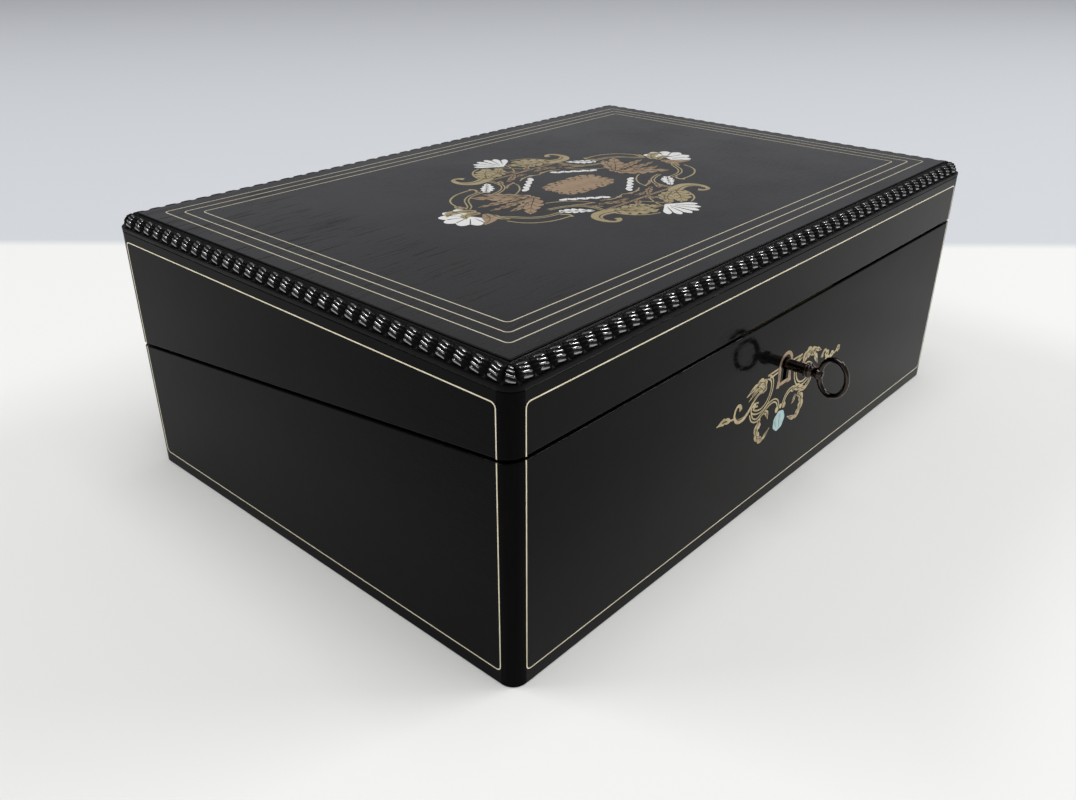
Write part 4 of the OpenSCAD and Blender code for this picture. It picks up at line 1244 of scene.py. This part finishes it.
verts, faces = [], []
for strand in range(2):
    first = len(verts)
    for i in range(samples):
        x, y = along_path(lengths[-1] * i / samples)
        x2, y2 = along_path(lengths[-1] * i / samples + 0.5)
        away = Vector((y2 - y, x - x2, 0)).normalized()
        turn = 2 * math.pi * (TURNS * i / samples + strand / 2)
        for k in range(ROUND):
            b = 2 * math.pi * k / ROUND
            out_by = STRAND_OFF * math.cos(turn) + STRAND_R * math.cos(b)
            up = STRAND_OFF * math.sin(turn) + STRAND_R * math.sin(b)
            verts.append((x + away.x * out_by, y + away.y * out_by, braid_z + up))
    faces += renumbered(tube_faces(samples, ROUND, closed=True), first)
make("lid_braid_twisted", verts, faces, gilt, "lid", "gilt_braid", ["lid_pad_braid"])


# ---------------------------------------------------------------- looks of the CAD nodes
WOODEN = ("base_bottom", "tray_ledges", "tray_frame", "tray_bottom", "tray_dividers")
BRASS = ("hinge_base_leaves", "hinge_lid_leaves", "hinge_base_screws", "hinge_lid_screws", "lock_case",
         "lock_cover", "lock_screws", "lock_bolt", "lock_barrel", "striker_plate", "striker_screws",
         "tray_knobs")
STEEL = ("hinge_pins", "lock_drill_pin", "lock_spring")
SOFT_EDGES = {"tray_frame": 0.5, "tray_dividers": 0.5, "tray_ledges": 0.5, "hinge_base_leaves": 0.15,
              "hinge_lid_leaves": 0.15, "lock_cover": 0.15, "striker_plate": 0.1, "tray_knobs": 0.2,
              "bottom_baize": 0.2}
for nodes, look in ((WOODEN, inner_wood), (BRASS, hardware), (STEEL, steel), (["bottom_baize"], baize),
                    (["lid_top_board"], painted_glint_wood)):
    for node in nodes:
        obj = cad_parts[node]
        obj.data.materials.clear()
        obj.data.materials.append(look.material)
        if node in SOFT_EDGES:
            bevel = obj.modifiers.new("edges", "BEVEL")
            bevel.width = SOFT_EDGES[node] * MM
            bevel.segments = 2
            bevel.limit_method = "ANGLE"
            bevel.angle_limit = math.radians(40)


# ---------------------------------------------------------------- floor, light and camera
def light(name, place, aim, size, power):
    """A rectangular softbox that faces aim."""
    data = bpy.data.lights.new(name, "AREA")
    data.shape = "RECTANGLE"
    data.size, data.size_y = size
    data.energy = power
    obj = bpy.data.objects.new(name, data)
    bpy.context.scene.collection.objects.link(obj)
    obj.location = place
    obj.rotation_euler = (Vector(aim) - Vector(place)).to_track_quat("-Z", "Y").to_euler()


CAMERA_PLACE = (-0.3069, -0.2531, 0.2131)
CAMERA_TURN = -47.98
CAMERA_DOWN = 27.56
CAMERA_ROLL = -0.18
REACH = 7000
FLOOR_COLOR = (0.765, 0.765, 0.745)
BEYOND_COLOR = (0.56, 0.575, 0.60)  # the floor past its far edge, in metres from the origin along the view
BEYOND_FROM, BEYOND_TO = 0.236, 0.250
backdrop = Look("studio floor", FLOOR_COLOR, Roughness=0.85, Specular_IOR_Level=0.1)
view_turn = math.radians(90 + CAMERA_TURN)
along_view = backdrop.along_x(backdrop.place(turn=(0, 0, -view_turn)))
beyond = backdrop.band(along_view, BEYOND_FROM, BEYOND_TO)
backdrop.color(backdrop.mix(beyond, FLOOR_COLOR, BEYOND_COLOR))
backdrop.bump(backdrop.noise(0.03, 4, 0.5), 0.0012, 0.25)
floor = mesh_object("floor", [(-REACH, -REACH, 0), (REACH, -REACH, 0), (REACH, REACH, 0), (-REACH, REACH, 0)],
                    [(0, 1, 2, 3)])
floor.data.materials.append(backdrop.material)

world = bpy.data.worlds.new("studio")
world.use_nodes = True
sky = world.node_tree.nodes["Background"].inputs
sky["Color"].default_value = (0.81, 0.82, 0.86, 1)
sky["Strength"].default_value = 0.37
bpy.context.scene.world = world
bpy.context.scene.view_settings.view_transform = "Standard"
light("left softbox", (-1.30, 1.66, 1.85), (0, 0, 0.05), (1.3, 0.29), 22.5)
light("right softbox", (1.85, -1.31, 1.67), (0, 0, 0.05), (1.3, 0.29), 27)
light("ceiling", (-0.1, -0.4, 2.6), (0, 0, 0), (1.8, 1.8), 43)

camera_data = bpy.data.cameras.new("camera")
camera_data.sensor_fit = "HORIZONTAL"
camera_data.sensor_width = 36.0
camera_data.lens = 32.296
camera_data.clip_start = 0.01
camera_data.clip_end = 50
camera = bpy.data.objects.new("camera", camera_data)
bpy.context.scene.collection.objects.link(camera)
camera.location = CAMERA_PLACE
camera.rotation_mode = "XYZ"
camera.rotation_euler = (math.radians(90 - CAMERA_DOWN), math.radians(CAMERA_ROLL), math.radians(CAMERA_TURN))
bpy.context.scene.camera = camera
